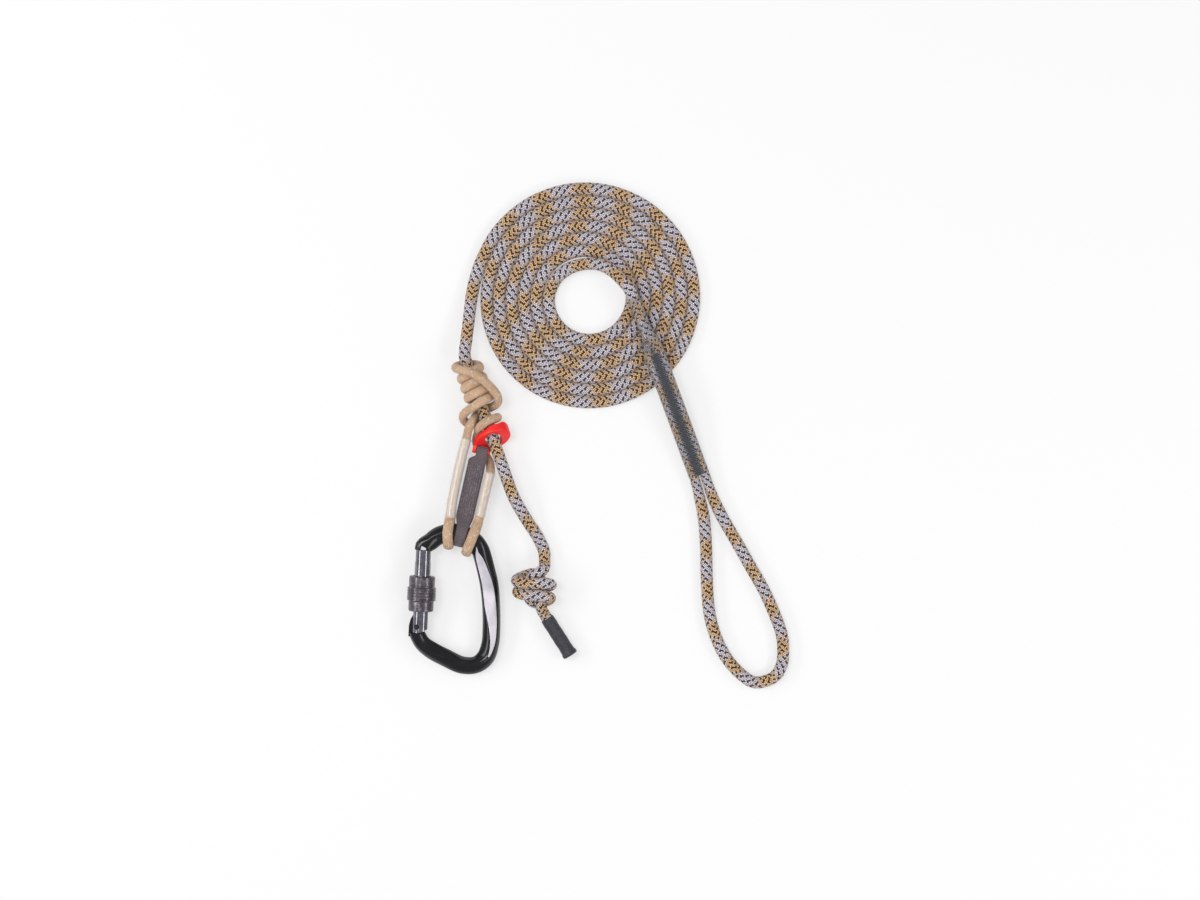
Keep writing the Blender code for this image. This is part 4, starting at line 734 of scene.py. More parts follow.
def bevelCorners(piece, width, degrees):
    edge = piece.modifiers.new("edge", "BEVEL")
    edge.width, edge.segments, edge.limit_method = width, 2, "ANGLE"
    edge.angle_limit = math.radians(degrees)


def joinMeshes(parts):
    # several bmeshes as one
    whole = newShape()
    for part in parts:
        mesh = bpy.data.meshes.new("part")
        part.to_mesh(mesh)
        part.free()
        whole.from_mesh(mesh)
        bpy.data.meshes.remove(mesh)
    return whole


def threadTube(points, thickness, sides=6, rings=0.0005, twist=0.002):
    way = smoothRoute(points, rings)
    tube = cordRings(way, sides, lambda run, point: thickness)
    return rolledGrid(tube, routeLength(way) / twist)


def zigzagSeams(passes, shares, thickness, placeAt):
    # a thread to and fro on each face; placeAt gives a point from its face, pass, hand and share
    threads = []
    for face in (1, -1):
        points = [placeAt(face, k, 1 if k % 2 else -1, share)
                  for k in range(passes + 1) for share in shares]
        threads.append(threadTube(points, thickness))
    return joinMeshes(threads)


def buildEyeStitching():
    sizes = eyeStitchSizes
    length, half = sizes["end"] - sizes["start"], strandSpacing / 2
    passes = round(length / sizes["pitch"])

    def placeAt(face, k, hand, share):
        ragged = (noise.noise(Vector((k * 0.73, face, 0)))
                  + 0.5 * noise.noise(Vector((k * 2.9, face, 4))))
        x = hand * share * (sizes["halfWidth"] + sizes["ragged"] * ragged)
        crown = math.sqrt(max(0.0, sizes["strand"] ** 2 - (abs(x) - half) ** 2))
        if abs(x) < half:
            crown = max(crown, sizes["bridge"])  # over the dip between the strands
        if abs(share) > 0.9:
            crown -= sizes["turnDip"]
        s = sizes["start"] + length * k / passes + sizes["pitch"] * 0.5 * share
        return sewnPoint(s, x, face * (crown + sizes["above"]))

    bm = zigzagSeams(passes, (-0.98, -0.55, 0.0, 0.55, 0.98), sizes["thread"], placeAt)
    return addPiece("eyeStitching", bm, navyThread, "rope", "thread_dark", "eye_stitching")


eyeStitching = buildEyeStitching()
print("rope's sleeves and stitching")


# Friction hitch: one cord from the left leg's sewn end, over the rope, to the right leg's

hitchSizes = {"width": 0.0059, "wrapWidth": 0.0069, "eyeWidth": 0.0070,
              "eyeDepth": 0.0048, "rings": 0.0011, "sides": 18, "pitch": 0.0155, "fit": 0.0005,
              "strandSpacing": 0.0065, "legHeight": 0.0106, "rise": (0.012, 0.8),
              # the eyes: the cord's half inside the bend, where they open, how far from the bar
              # they flatten, and the x between the two of them
              "cordHalf": 0.0025, "eyeMouth": 0.0016, "eyeLead": 0.006,
              "eyeZone": (0.0100, 0.0170), "split": 0.0005,
              # the wraps: how far along the rope and out from it, and where they draw tight
              "wrapZone": (-0.002, 0.036, 0.012), "snugFrom": (0.004, 0.010),
              "snugTo": (0.030, 0.035)}
overRoute = [(51.5, -16.3, 3.25), (47.8, -14.2, 4.2), (44.8, -11.6, 4.0), (42.4, -9.0, 2.0),
             (40.9, -7.4, -2.0), (38.6, -4.6, -6.2), (37.8, 0.2, -7.5), (37.6, 5.0, -5.8),
             (37.2, 8.8, -1.8), (35.6, 11.6, 2.6), (32.0, 12.4, 6.8), (27.5, 11.3, 9.6)]
crownRoute = [(22.5, 40, 14.1), (17.3, 25, 14.1), (12.6, 9, 14.1), (9.0, -8, 13.8),
              (6.2, -35, 11.6), (4.4, -68, 9.0), (3.6, -100, 7.6), (3.5, -140, 7.35),
              (4.6, -180, 7.35), (6.4, -218, 7.35), (8.2, -252, 7.35)]
wraps = {"first": -285, "last": -1440, "perLoop": 24, "start": 9.8, "pitch": 6.95,
         "radius": 7.35}
underRoute = [(33.4, -4.2, 6.4), (34.4, -8.8, 4.0), (36.0, -13.1, 0.6), (38.6, -15.0, -2.4),
              (42.2, -13.8, -5.2), (44.6, -9.8, -7.2), (45.8, -4.6, -7.5), (46.0, 0.6, -7.5),
              (46.0, 5.4, -5.4), (45.8, 7.7, -0.6), (45.6, 6.4, 4.2), (45.8, 2.0, 7.4),
              (47.0, -3.4, 7.0), (49.2, -7.2, 2.7), (51.6, -8.7, -2.2), (54.4, -10.9, -6.0),
              (58.5, -11.9, -7.3), (63.0, -10.9, -7.4), (68.0, -8.8, -7.2), (73.5, -7.6, -6.2),
              (78.5, -8.9, -3.3)]
barSizes = {"radius": 0.0208, "width": 0.0125, "thickness": 0.0104}
carabinerPlace = (Matrix.Translation(spot(-4.1, -29.8, 10.43))
                  @ Matrix.Rotation(math.radians(3.0), 4, "X")
                  @ Matrix.Rotation(math.radians(2.5), 4, "Y"))


def roundAxis(along, degrees, distance):
    angle = math.radians(degrees)
    return axisPoint(along, distance * math.sin(angle), distance * math.cos(angle))


def barUnder(place):
    # centre of the carabiner's top bar below a place in plan
    level = Vector((place.x, place.y, carabinerPlace.translation.z))
    local = carabinerPlace.inverted() @ level
    return carabinerPlace @ (Vector((local.x, local.y, 0)).normalized() * barSizes["radius"])


def makeLeg(route, tipWay, tipExtra, backExtra, gap):
    # a doubled cord running up from the carabiner's bar, one strand above the other
    way = smoothRoute([spot(x, y) for x, y in route], 0.002)
    reach = barSizes["width"] / 2 + hitchSizes["cordHalf"] + hitchSizes["fit"]
    return {"route": way, "tipWay": Vector((*tipWay, 0)).normalized(), "bar": barUnder(way[0]),
            "tipReach": reach + tipExtra, "backReach": reach + backExtra,
            "sleeveFoot": reach + gap, "length": routeLength(way)}


def legPlan(leg, distance):
    if distance < 0:
        return leg["route"][0] - leg["tipWay"] * distance
    return alongRoute(leg["route"], [min(distance, leg["length"])])[0]


def legAcross(leg, distance):
    way = (legPlan(leg, distance + 0.001) - legPlan(leg, distance - 0.001)).normalized()
    return Vector((way.y, -way.x, 0.0))


def legPoint(leg, distance, above=0.0, side=0.0):
    place, bar = legPlan(leg, distance), leg["bar"]
    start, end = hitchSizes["rise"]
    share = ease(distance, start, leg["length"] * end)
    height = bar.z + (hitchSizes["legHeight"] - bar.z) * share
    return (Vector((place.x, place.y, 0)) + legAcross(leg, distance) * side
            + upward * (height + above))


def legEye(leg):
    # round the bar, from the upper strand to the lower one
    tall = barSizes["thickness"] / 2 + hitchSizes["cordHalf"] + hitchSizes["fit"]
    half, mouth = hitchSizes["strandSpacing"] / 2, leg["backReach"] + hitchSizes["eyeMouth"]
    points = [legPoint(leg, mouth, half)]
    for degrees in range(36, 325, 18):
        angle = math.radians(degrees)
        reach = leg["backReach"] if math.cos(angle) > 0 else leg["tipReach"]
        points.append(legPoint(leg, reach * math.cos(angle), tall * math.sin(angle)))
    return points + [legPoint(leg, mouth, -half)]


def legStrand(leg, hand, start, end):
    half = hand * hitchSizes["strandSpacing"] / 2
    return [legPoint(leg, start + (end - start) * k / 6, half) for k in range(7)]


leftLeg = makeLeg([(-7.2, -9.2), (-5.8, 0.7), (-4.5, 11.3), (1.6, 40.8), (5.7, 56.5)],
                  (0.028, -1.0), 0.0001, 0.0001, 0.00115)
rightLeg = makeLeg([(9.04, -13.7), (14.1, 0.7), (16.55, 11.3), (20.8, 29.0), (22.0, 33.6)],
                   (-0.387, -0.922), 0.0010, 0.0006, 0.00715)


def hitchPath():
    hitch = [axisPoint(*p) for p in overRoute] + [roundAxis(*p) for p in crownRoute]
    step = 360 / wraps["perLoop"]
    for k in range(int((wraps["first"] - wraps["last"]) / step) + 1):
        angle = wraps["first"] - step * k
        hitch.append(roundAxis(wraps["start"] + wraps["pitch"] * step * k / 360, angle,
                               wraps["radius"]))
    hitch += [axisPoint(*p) for p in underRoute]
    points = []
    for leg, onward in ((leftLeg, hitch), (rightLeg, [])):
        near, head = leg["backReach"] + hitchSizes["eyeLead"], leg["length"] - 0.001
        points += legStrand(leg, -1, head, near)[:-1] + legEye(leg)[::-1]
        points += legStrand(leg, 1, near, head)[1:] + onward
    return smoothRoute(points, hitchSizes["rings"])


hitchBraid = braidedCord(
    "braidedAramidHitchCord", 16,
    [(0, "#FCD2AE"), (4, "#FFF4E2"), (5, "#F8CCA4"), (12, "#FFF8EA"), (13, "#FACFAC")],
    [(0, "#FFD7B6"), (3, "#F5C9A0"), (8, "#FFF0DA"), (9, "#FCD2AE")], 0.50, 0.16, 0.00050)


def buildHitchCord():
    sizes, path = hitchSizes, hitchPath()
    bars = [leg["bar"].to_2d() for leg in (leftLeg, rightLeg)]

    def reshape(offset, way, point):
        eye = 1 - ease(min((point.to_2d() - bar).length for bar in bars), *sizes["eyeZone"])
        if eye > 0:
            # the eyes lie flat against the bar: wide across it, thin towards it
            side = legAcross(leftLeg if point.x < sizes["split"] else rightLeg, 0.0)
            wide = offset.dot(side)
            rest = offset - side * wide
            return (side * wide * (1 + (sizes["eyeWidth"] / sizes["width"] - 1) * eye)
                    + rest * (1 + (sizes["eyeDepth"] / sizes["width"] - 1) * eye))
        along = (point - axisStart).dot(axisWay)
        away = (point - axisStart) - axisWay * along
        low, high, reach = sizes["wrapZone"]
        if low < along < high and away.length < reach:
            # pulled tight round the rope, the turns spread until they touch
            snug = ease(along, *sizes["snugFrom"]) * (1 - ease(along, *sizes["snugTo"]))
            grown = (sizes["wrapWidth"] / sizes["width"] - 1) * snug
            return offset + axisWay * offset.dot(axisWay) * grown
        return offset

    return addCord("hitchCord", path, sizes, lambda run, point: sizes["width"], reshape,
                   hitchBraid, "hitch", "hitch_cord", "hitch_wraps", "left_leg", "right_leg")


buildHitchCord()

legTrimSizes = {"halfWidth": 0.0037, "halfHeight": 0.00655, "wall": 0.0003, "wrinkle": 0.00012,
                "rings": 40, "sides": 28, "flare": 0.04, "flareLength": 0.002,
                "thread": 0.00045, "threadPitch": 0.00075, "threadReach": 0.0022,
                "threadStart": 0.0008, "threadEnd": 0.0025, "strand": 0.00305}


def buildLegTrim(side, leg, head):
    sizes, foot = legTrimSizes, leg["sleeveFoot"]
    outline = stadiumPoints(sizes["halfWidth"], sizes["halfHeight"], sizes["sides"])

    def outlineAt(along):
        flare = 1 + sizes["flare"] * (ease(along, head - sizes["flareLength"], head)
                                      + 1 - ease(along, foot, foot + sizes["flareLength"]))
        return [(x * flare, y * flare) for x, y in outline]

    shrinkFilm(side + "LegSleeve", sizes, foot, head, outlineAt,
               lambda along, x, y: legPoint(leg, along, y, x), legShrink, "hitch",
               side + "_leg_sleeve")

    def placeAt(face, k, hand, share):
        x = hand * share * sizes["threadReach"]
        crown = math.sqrt(max(0.0, sizes["strand"] ** 2 - x ** 2))
        s = foot + sizes["threadStart"] + sizes["threadPitch"] * (k + 0.5 * share)
        return legPoint(leg, s, face * (hitchSizes["strandSpacing"] / 2 + crown), x)

    bm = zigzagSeams(round((head - sizes["threadEnd"] - foot) / sizes["threadPitch"]),
                     (-0.95, -0.5, 0.0, 0.5, 0.95), sizes["thread"], placeAt)
    addPiece(side + "LegStitching", bm, creamThread, "hitch", "thread_cream",
             side + "_leg_stitching")


buildLegTrim("left", leftLeg, leftLeg["length"] - 0.0015)
buildLegTrim("right", rightLeg, rightLeg["length"] - 0.0020)
print("legs' sleeves and stitching")


# Webbing sling, folded round the tender's bar and the carabiner's bar

slingSizes = {
    "bar": (16.1, 46.4, 10.5), "lean": 12.7, "length": 0.0577, "width": 0.0121,
    "thickness": 0.0015, "gap": 0.0006, "fit": 0.0008, "side": -0.00182, "foldWidth": 0.0078,
    "foldSide": -0.00145, "bend": -0.0460, "tenderBar": 0.0015, "tenderHalf": 0.0038,
    "tenderFit": 0.0003, "widens": (0.0036, 0.0068), "narrows": (0.0455, 0.0550), "liftFrom": 0.006,
    "columns": 8, "rings": 0.0016, "edge": 0.0004, "sharp": 50,
    # the front layer: place along, and its height in shares of the fold's and the layer's
    "front": [(0.0, 1.0, 0.0), (-0.0030, 0.86, 0.0), (-0.0060, 0.0, 1.15), (-0.0100, 0.0, 1.0),
              (-0.0200, 0.0, 1.0), (-0.0320, 0.0, 1.0), (-0.0440, 0.0, 1.0), (-0.0475, 0.0, 1.5)],
    "stitchHalf": 0.0046, "stitchTop": -0.0105, "stitchFoot": -0.0445, "thread": 0.00055,
    "stitch": 0.0016, "rows": 7, "swing": 0.00038, "stray": 0.0002, "dip": 0.00012,
    "above": 0.0001, "crossSwing": 0.0003, "crossStitches": 12,
}
slingFrame = (Matrix.Translation(spot(*slingSizes["bar"]))
              @ Matrix.Rotation(-math.radians(slingSizes["lean"]), 4, "Z"))
slingBar = slingFrame.inverted() @ barUnder(slingFrame @ Vector((0, -slingSizes["length"], 0)))


def webbingEdges(y):
    sizes = slingSizes
    full, snug = ease(-y, *sizes["widens"]), ease(-y, *sizes["narrows"])
    centre = sizes["side"] * full + (sizes["foldSide"] - sizes["side"]) * snug
    half = sizes["tenderHalf"] + (sizes["width"] / 2 - sizes["tenderHalf"]) * full
    half += (sizes["foldWidth"] / 2 - half) * snug
    return centre - half, centre + half


def webbingLift(y):
    return slingBar.z * ease(-y, slingSizes["liftFrom"], -slingSizes["bend"])


def wovenWebbing():
    # Plain-woven nylon webbing: cross ribs about a millimetre apart, warp columns finer, a dull
    # purplish grey with a slight sheen, with painted shade in the weave's hollows
    material, tree, surface = newMaterial("wovenNylonWebbing", {
        "Roughness": 0.7, "Specular IOR Level": 0.35, "Sheen Weight": 0.3,
        "Sheen Roughness": 0.5})
    parts = addNode(tree, "SeparateXYZ", None, {0: addNode(tree, "TexCoord").outputs["UV"]})
    columns, ribs = (
        addNode(tree, "Math", {"operation": "PINGPONG", 1: 0.5},
                {0: addNode(tree, "Math", {"operation": "MULTIPLY", 1: 1 / spacing}, {0: part})})
        for part, spacing in zip(parts.outputs, (0.7, 0.95)))  # millimetres
    place = addNode(tree, "TexCoord").outputs["Object"]
    patches = addNode(tree, "TexNoise", {"Scale": 350.0, "Detail": 4.0, "Roughness": 0.7},
                      {0: place})
    relief = addNode(tree, "Math", {"operation": "MULTIPLY_ADD", 1: 0.6}, {0: columns, 2: ribs})
    # painted shade: the colour follows the weave's relief, darker in its hollows and paler on the
    # rib tops
    ramp = addNode(tree, "ValToRGB", None, {0: relief})
    bandStops(ramp, [(0.05, "#342C30"), (0.40, "#5F5459"), (0.80, "#84787E")])
    tone = addNode(tree, "MapRange", {1: 0.3, 2: 0.7, 3: 0.85, 4: 1.15}, {0: patches})
    shaded = addNode(tree, "VectorMath", {"operation": "SCALE"},
                     {0: ramp.outputs[0], "Scale": tone})
    feed(surface, "Base Color", shaded)
    feed(surface, "Normal", addNode(tree, "Bump", {"Strength": 0.8, "Distance": 0.00025},
                                    {"Height": relief}))
    return material


def webbingLoop():
    # the sling's middle line seen from its side, as (along, up), from the tender's bar and back
    sizes, half = slingSizes, slingSizes["thickness"] / 2
    layer = half + sizes["gap"] / 2
    fold = sizes["tenderBar"] + sizes["tenderFit"] + half
    outReach = barSizes["width"] / 2 + sizes["fit"] + half
    bow = (sizes["foldWidth"] / 2) ** 2 / (2 * barSizes["radius"] - barSizes["width"])
    tall = barSizes["thickness"] / 2 + sizes["fit"] + half
    upper = [(y, fold * folded + layer * laid) for y, folded, laid in sizes["front"]]
    wrap = []
    for angle in (math.radians(degrees) for degrees in range(30, 181, 15)):
        reach = outReach if math.cos(angle) > 0 else outReach + bow
        wrap.append((slingBar.y + reach * math.cos(angle), slingBar.z + tall * math.sin(angle)))
    topFold = [(fold * math.cos(angle), fold * math.sin(angle))
               for angle in (0.0, math.radians(30), math.radians(60))]
    under = [(y, 2 * slingBar.z - z if y < sizes["bend"] else -z)
             for y, z in reversed(upper + wrap[:-1])]
    path = topFold + upper + wrap + under + [(y, -z) for y, z in reversed(topFold[1:])]
    return smoothRoute([Vector((0, y, z)) for y, z in path + path[:1]], sizes["rings"])


def buildWebbing():
    sizes, loop = slingSizes, webbingLoop()
    last, length = len(loop) - 1, routeLength(loop)
    bm = newShape()
    bmesh.ops.create_grid(bm, x_segments=sizes["columns"], y_segments=last, size=0.5,
                          calc_uvs=True)
    ends = []
    for vert in bm.verts:
        row = round((vert.co.y + 0.5) * last)
        y, z = loop[row].yz
        z += 0.0 if y < sizes["bend"] else webbingLift(y)
        left, right = webbingEdges(y)
        vert.co = slingFrame @ Vector((left + (right - left) * (vert.co.x + 0.5), y, z))
        if row in (0, last):
            ends.append(vert)
    uv = bm.loops.layers.uv.active
    for face in bm.faces:
        face.smooth = True
        for item in face.loops:  # in millimetres
            item[uv].uv *= Vector((sizes["width"], length)) / millimetre
    bmesh.ops.remove_doubles(bm, verts=ends, dist=1e-6)
    bmesh.ops.recalc_face_normals(bm, faces=bm.faces[:])
    piece = addPiece("webbingSling", bm, wovenWebbing(), "hitch", "webbing", "webbing_sling")
    solid = piece.modifiers.new("thickness", "SOLIDIFY")
    solid.thickness, solid.offset = sizes["thickness"], 0.0
    bevelCorners(piece, sizes["edge"], sizes["sharp"])


buildWebbing()


def buildWebbingStitching():
    # rows of locked zigzag stitches through both layers, on both faces
    sizes = slingSizes
    top, foot, half = sizes["stitchTop"], sizes["stitchFoot"], sizes["stitchHalf"]
    surface = sizes["thickness"] + sizes["gap"] / 2 + sizes["above"]
    count, crossings = round((top - foot) / sizes["stitch"] * 2), sizes["crossStitches"]

    def stitch(hand, x, y, above, lift):
        return slingFrame @ Vector((sizes["side"] + x, y, hand * above + webbingLift(lift)))

    for hand, name in ((1, "front"), (-1, "back")):
        threads = []
        for row in range(sizes["rows"]):
            points = []
            for k in range(count + 1):
                y, odd = top + (foot - top) * k / count, k % 2
                stray = sizes["stray"] * noise.noise(Vector((k * 0.9, row * 3.1, hand)))
                x = half * (2 * row / (sizes["rows"] - 1) - 1) + stray
                points.append(stitch(hand, x + (sizes["swing"] if odd else -sizes["swing"]), y,
                                     surface - (0 if odd else sizes["dip"]), y))
            threads.append(points)
        for y in (top, foot):  # cross rows at both ends
            threads.append([stitch(hand, half * (2 * k / crossings - 1),
                                   y + sizes["crossSwing"] * (1 if k % 2 else -1), surface, y)
                            for k in range(crossings + 1)])
        bm = joinMeshes([threadTube(points, sizes["thread"], 5) for points in threads])
        addPiece("webbingStitching" + name.capitalize(), bm, greyThread, "hitch", "thread_grey",
                 "webbing_stitching_" + name)


buildWebbingStitching()
print("webbing sling")


# Tending ring

ringSizes = {"voxel": 0.00032, "smoothing": 6, "place": 0.0578, "tilt": math.radians(33.0),
             # how much the rim is grown, more of it at the outer side, and by what places in
             # millimetres right of the ring's middle and above it
             "grown": 0.0014, "outer": 0.0020, "right": (-4.0, 5.0), "high": (-5.0, 3.0),
             "far": (6.0, 11.0), "behind": -1.0,
             "room": 0.0004, "roomHigh": (1.0, 4.0), "roomRight": (-2.5, -0.5)}


# Injection-moulded nylon in signal red: satin skin, soft highlights, faint flow marks
mouldedRed = grainedMaterial(
    "mouldedRedNylon", {"Specular IOR Level": 0.5, "Subsurface Weight": 0.08,
                        "Subsurface Radius": (0.002, 0.0006, 0.0005)},
    {"flow": {"Scale": 90.0, "Detail": 3.0}, "grain": {"Scale": 1800.0}},
    ("flow", [(0.30, "#EC1A1B"), (0.55, "#FA2822"), (0.80, "#FF4438")]),
    ("grain", 0.32, 0.46), ("grain", 0.25, 0.00005))[0]


def mergedCopy(nodeName):
    # a copy of a CAD node's loose triangles, joined up
    bm = bmesh.new()
    bm.from_mesh(nodes[nodeName].data)
    bmesh.ops.remove_doubles(bm, verts=bm.verts[:], dist=1e-6)
    return bm


def buildTendingRing():
    # the CAD's ring with its upper right-hand rim grown back along the rope, as in the photo
    bm = mergedCopy("tending_ring")
    sizes = ringSizes
    centre = axisStart + axisWay * sizes["place"]
    normal = axisWay * math.cos(sizes["tilt"]) + upward * math.sin(sizes["tilt"])
    top = normal.cross(axisSide)
    for vert in bm.verts:
        away = vert.co - centre
        right, high, along = (away.dot(n) / millimetre for n in (axisSide, top, normal))
        if along > sizes["behind"]:
            continue
        share = ease(right, *sizes["right"]) * ease(high, *sizes["high"])
        grown = (sizes["grown"] + sizes["outer"] * ease(right, *sizes["far"])) * share
        # room for the strand that crosses in front of it
        room = ease(high, *sizes["roomHigh"]) * (1 - ease(right, *sizes["roomRight"]))
        vert.co += axisWay * (sizes["room"] * room - grown)
    piece = addPiece("tendingRing", bm, mouldedRed, "tender", "plastic_red", "tending_ring")
    remesh = piece.modifiers.new("skin", "REMESH")
    remesh.mode, remesh.voxel_size, remesh.use_smooth_shade = "VOXEL", sizes["voxel"], True
    soften = piece.modifiers.new("soften", "SMOOTH")
    soften.factor, soften.iterations = 0.5, sizes["smoothing"]


buildTendingRing()
print("tending ring")


# Carabiner

# Forged aluminium, black anodised and polished: deep black with sharp streaks of light
blackAluminium = grainedMaterial(
    "anodisedBlackAluminium", {"Specular IOR Level": 0.25, "Coat Weight": 0.40,
                               "Coat Roughness": 0.07},
    {"cloud": {"Scale": 120.0, "Detail": 5.0, "Roughness": 0.6},
     "fine": {"Scale": 900.0}},
    ("cloud", [(0.30, "#08090C"), (0.70, "#101116")]), ("cloud", 0.20, 0.32),
    ("fine", 0.12, 0.00004))[0]

# The same anodising over a machined flat: satin, with fine grinding lines along it; its pale grey
# colour is a painted reflection of the lamps above, on top of the real satin sheen the shader gives
flatPaintedReflection = grainedMaterial(
    "anodisedFlatPaintedReflection", {"Metallic": 0.45, "Coat Weight": 0.3, "Coat Roughness": 0.25},
    {"lines": {"Scale": 1.0, "Detail": 3.0, "stretch": (2600.0, 120.0, 600.0)},
     "cloud": {"Scale": 70.0, "Detail": 3.0}},
    ("cloud", [(0.30, "#B6B2BA"), (0.60, "#DAD5DE")]), ("lines", 0.34, 0.50),
    ("lines", 0.15, 0.00003))[0]

# From the hinge round the spine and the top bar to the nose: x, y and width in mm, the inner and
# outer ridges of the face (-1 is the inner edge, 1 the outer one), and how round each flank is
bodyRows = [
    (-24.8, -48.0, 11.0, 0.50, 0.55, 1.9, 1.8), (-20.9, -55.0, 11.2, 0.40, 0.45, 1.6, 1.6),
    (-14.7, -60.0, 12.0, 0.26, 0.30, 1.4, 1.5), (-5.0, -65.2, 12.2, -0.13, -0.09, 1.35, 1.45),
    (6.4, -70.3, 12.0, -0.48, -0.44, 1.35, 1.45), (16.0, -70.0, 11.8, -0.38, -0.33, 1.35, 1.45),
    (22.3, -65.0, 12.4, 0.08, 0.22, 1.4, 1.45), (25.5, -56.0, 12.2, -0.02, 0.46, 1.5, 1.4),
    (26.4, -45.0, 12.3, -0.28, 0.55, 1.5, 1.4), (26.2, -30.0, 12.4, -0.70, 0.53, 1.6, 1.4),
    (24.9, -15.2, 12.8, -0.75, 0.40, 1.7, 1.4), (22.6, -4.5, 12.6, -0.76, 0.20, 1.7, 1.45),
    (20.35, 4.32, 12.5, -0.74, -0.05, 1.7, 1.5), (19.15, 8.13, 12.5, -0.60, -0.28, 1.8, 1.8),
    (17.25, 11.6, 12.5, -0.25, -0.15, 2.0, 2.0), (14.7, 14.7, 12.5, -0.10, -0.02, 2.0, 2.0),
    (8.0, 19.2, 12.5, -0.04, 0.04, 2.0, 2.0), (0.0, 20.8, 12.5, -0.04, 0.04, 2.0, 2.0),
    (-8.0, 19.2, 12.5, 0.10, 0.16, 1.9, 1.7), (-12.0, 17.0, 12.4, 0.26, 0.32, 1.7, 1.5),
    (-14.7, 14.7, 12.3, 0.30, 0.36, 1.8, 1.6),
]
bodySizes = {"thickness": 0.0104, "rows": 0.0016, "flank": 8, "flat": 5, "pin": (-24.7, -43.5),
             "gateLean": 2.75, "gateOffset": 0.0023, "gateTop": 0.0528, "noseDepth": 0.0022,
             "noseWidth": 12.0, "roundest": 1.2, "corner": 2.2, "lowest": 0.95,
             "slopes": (0.05, 0.25), "facetFrom": 0.141,
             "facetTop": 14.0, "noseRows": 3, "sharp": 40, "edge": 0.0003,
             "tongue": (0.0070, 0.0105, 0.0034), "tongueDepth": 0.0022,
             "camRadius": 5.6, "camAngle": 55.0, "tang": 0.0036}
gatePlace = (carabinerPlace @ Matrix.Translation(Vector((*bodySizes["pin"], 0)) * millimetre)
             @ Matrix.Rotation(-math.radians(bodySizes["gateLean"]), 4, "Z"))


def smoothRows(rows, spacing):
    # a curve through rows of numbers, the first two being the place in plan
    def apart(a, b):
        return (b - a).to_2d().length

    return curveThrough([Vector(row) for row in rows], apart,
                        lambda a, b: max(2, round(apart(a, b) / spacing)))


def bodySection(inner, outer, innerRound, outerRound):
    # half outline from the outer edge over the face to the inner edge, in shares of the halves;
    # the face slopes down to its inner ridge where it is wide
    flank, flat, corner = bodySizes["flank"], bodySizes["flat"], bodySizes["corner"]
    low = (1 - min(bodySizes["lowest"], abs(inner)) ** corner) ** (1 / corner)
    low = 1 + (low - 1) * ease(outer - inner, *bodySizes["slopes"])
    points = []
    for k in range(flank):
        angle = math.pi / 2 * k / flank
        points.append((outer + (1 - outer) * math.cos(angle) ** (2 / outerRound),
                       math.sin(angle) ** (2 / outerRound)))
    for share in (k / (flat - 1) for k in range(flat)):
        points.append((outer + (inner - outer) * share, 1 + (low - 1) * share))
    for k in range(1, flank + 1):
        angle = math.pi / 2 * (1 - k / flank)
        points.append((inner - (1 + inner) * math.cos(angle) ** (2 / innerRound),
                       low * math.sin(angle) ** (2 / innerRound)))
    return points


def bodyTongue():
    # tongue in the gate's slot, and the tang that the spring's plunger rests on
    sizes, bm = bodySizes, newShape()
    tongue = Matrix.Translation((sizes["gateOffset"], sizes["gateTop"] - sizes["tongueDepth"], 0))
    bmesh.ops.create_cube(bm, size=1.0,
                          matrix=gatePlace @ tongue @ Matrix.Diagonal((*sizes["tongue"], 1)))
    cam, angle = sizes["camRadius"], math.radians(sizes["camAngle"])
    corner = (cam * math.cos(angle), cam * math.sin(angle))
    outline = [(-5.4, -7.0), (-5.4, 0.5), (-4.4, 5.0), (-2.6, 8.2), (-0.8, 8.2),
               (-0.8, corner[1]), corner, (4.3, 1.2), (4.0, -2.6), (4.4, -7.0)]
    foot = -sizes["tang"] / 2
    plate = bm.faces.new([bm.verts.new(gatePlace @ Vector((x * millimetre, y * millimetre, foot)))
                          for x, y in outline])
    grown = bmesh.ops.extrude_face_region(bm, geom=[plate], use_keep_orig=True)
    bmesh.ops.translate(bm, verts=[v for v in grown["geom"] if isinstance(v, bmesh.types.BMVert)],
                        vec=gatePlace.to_3x3() @ Vector((0, 0, sizes["tang"])))
    bmesh.ops.bevel(bm, geom=bm.edges[:], offset=sizes["edge"], offset_type="OFFSET",
                    affect="EDGES", segments=2, profile=0.5, material=-1, clamp_overlap=True)
    bmesh.ops.recalc_face_normals(bm, faces=bm.faces[:])
    return bm


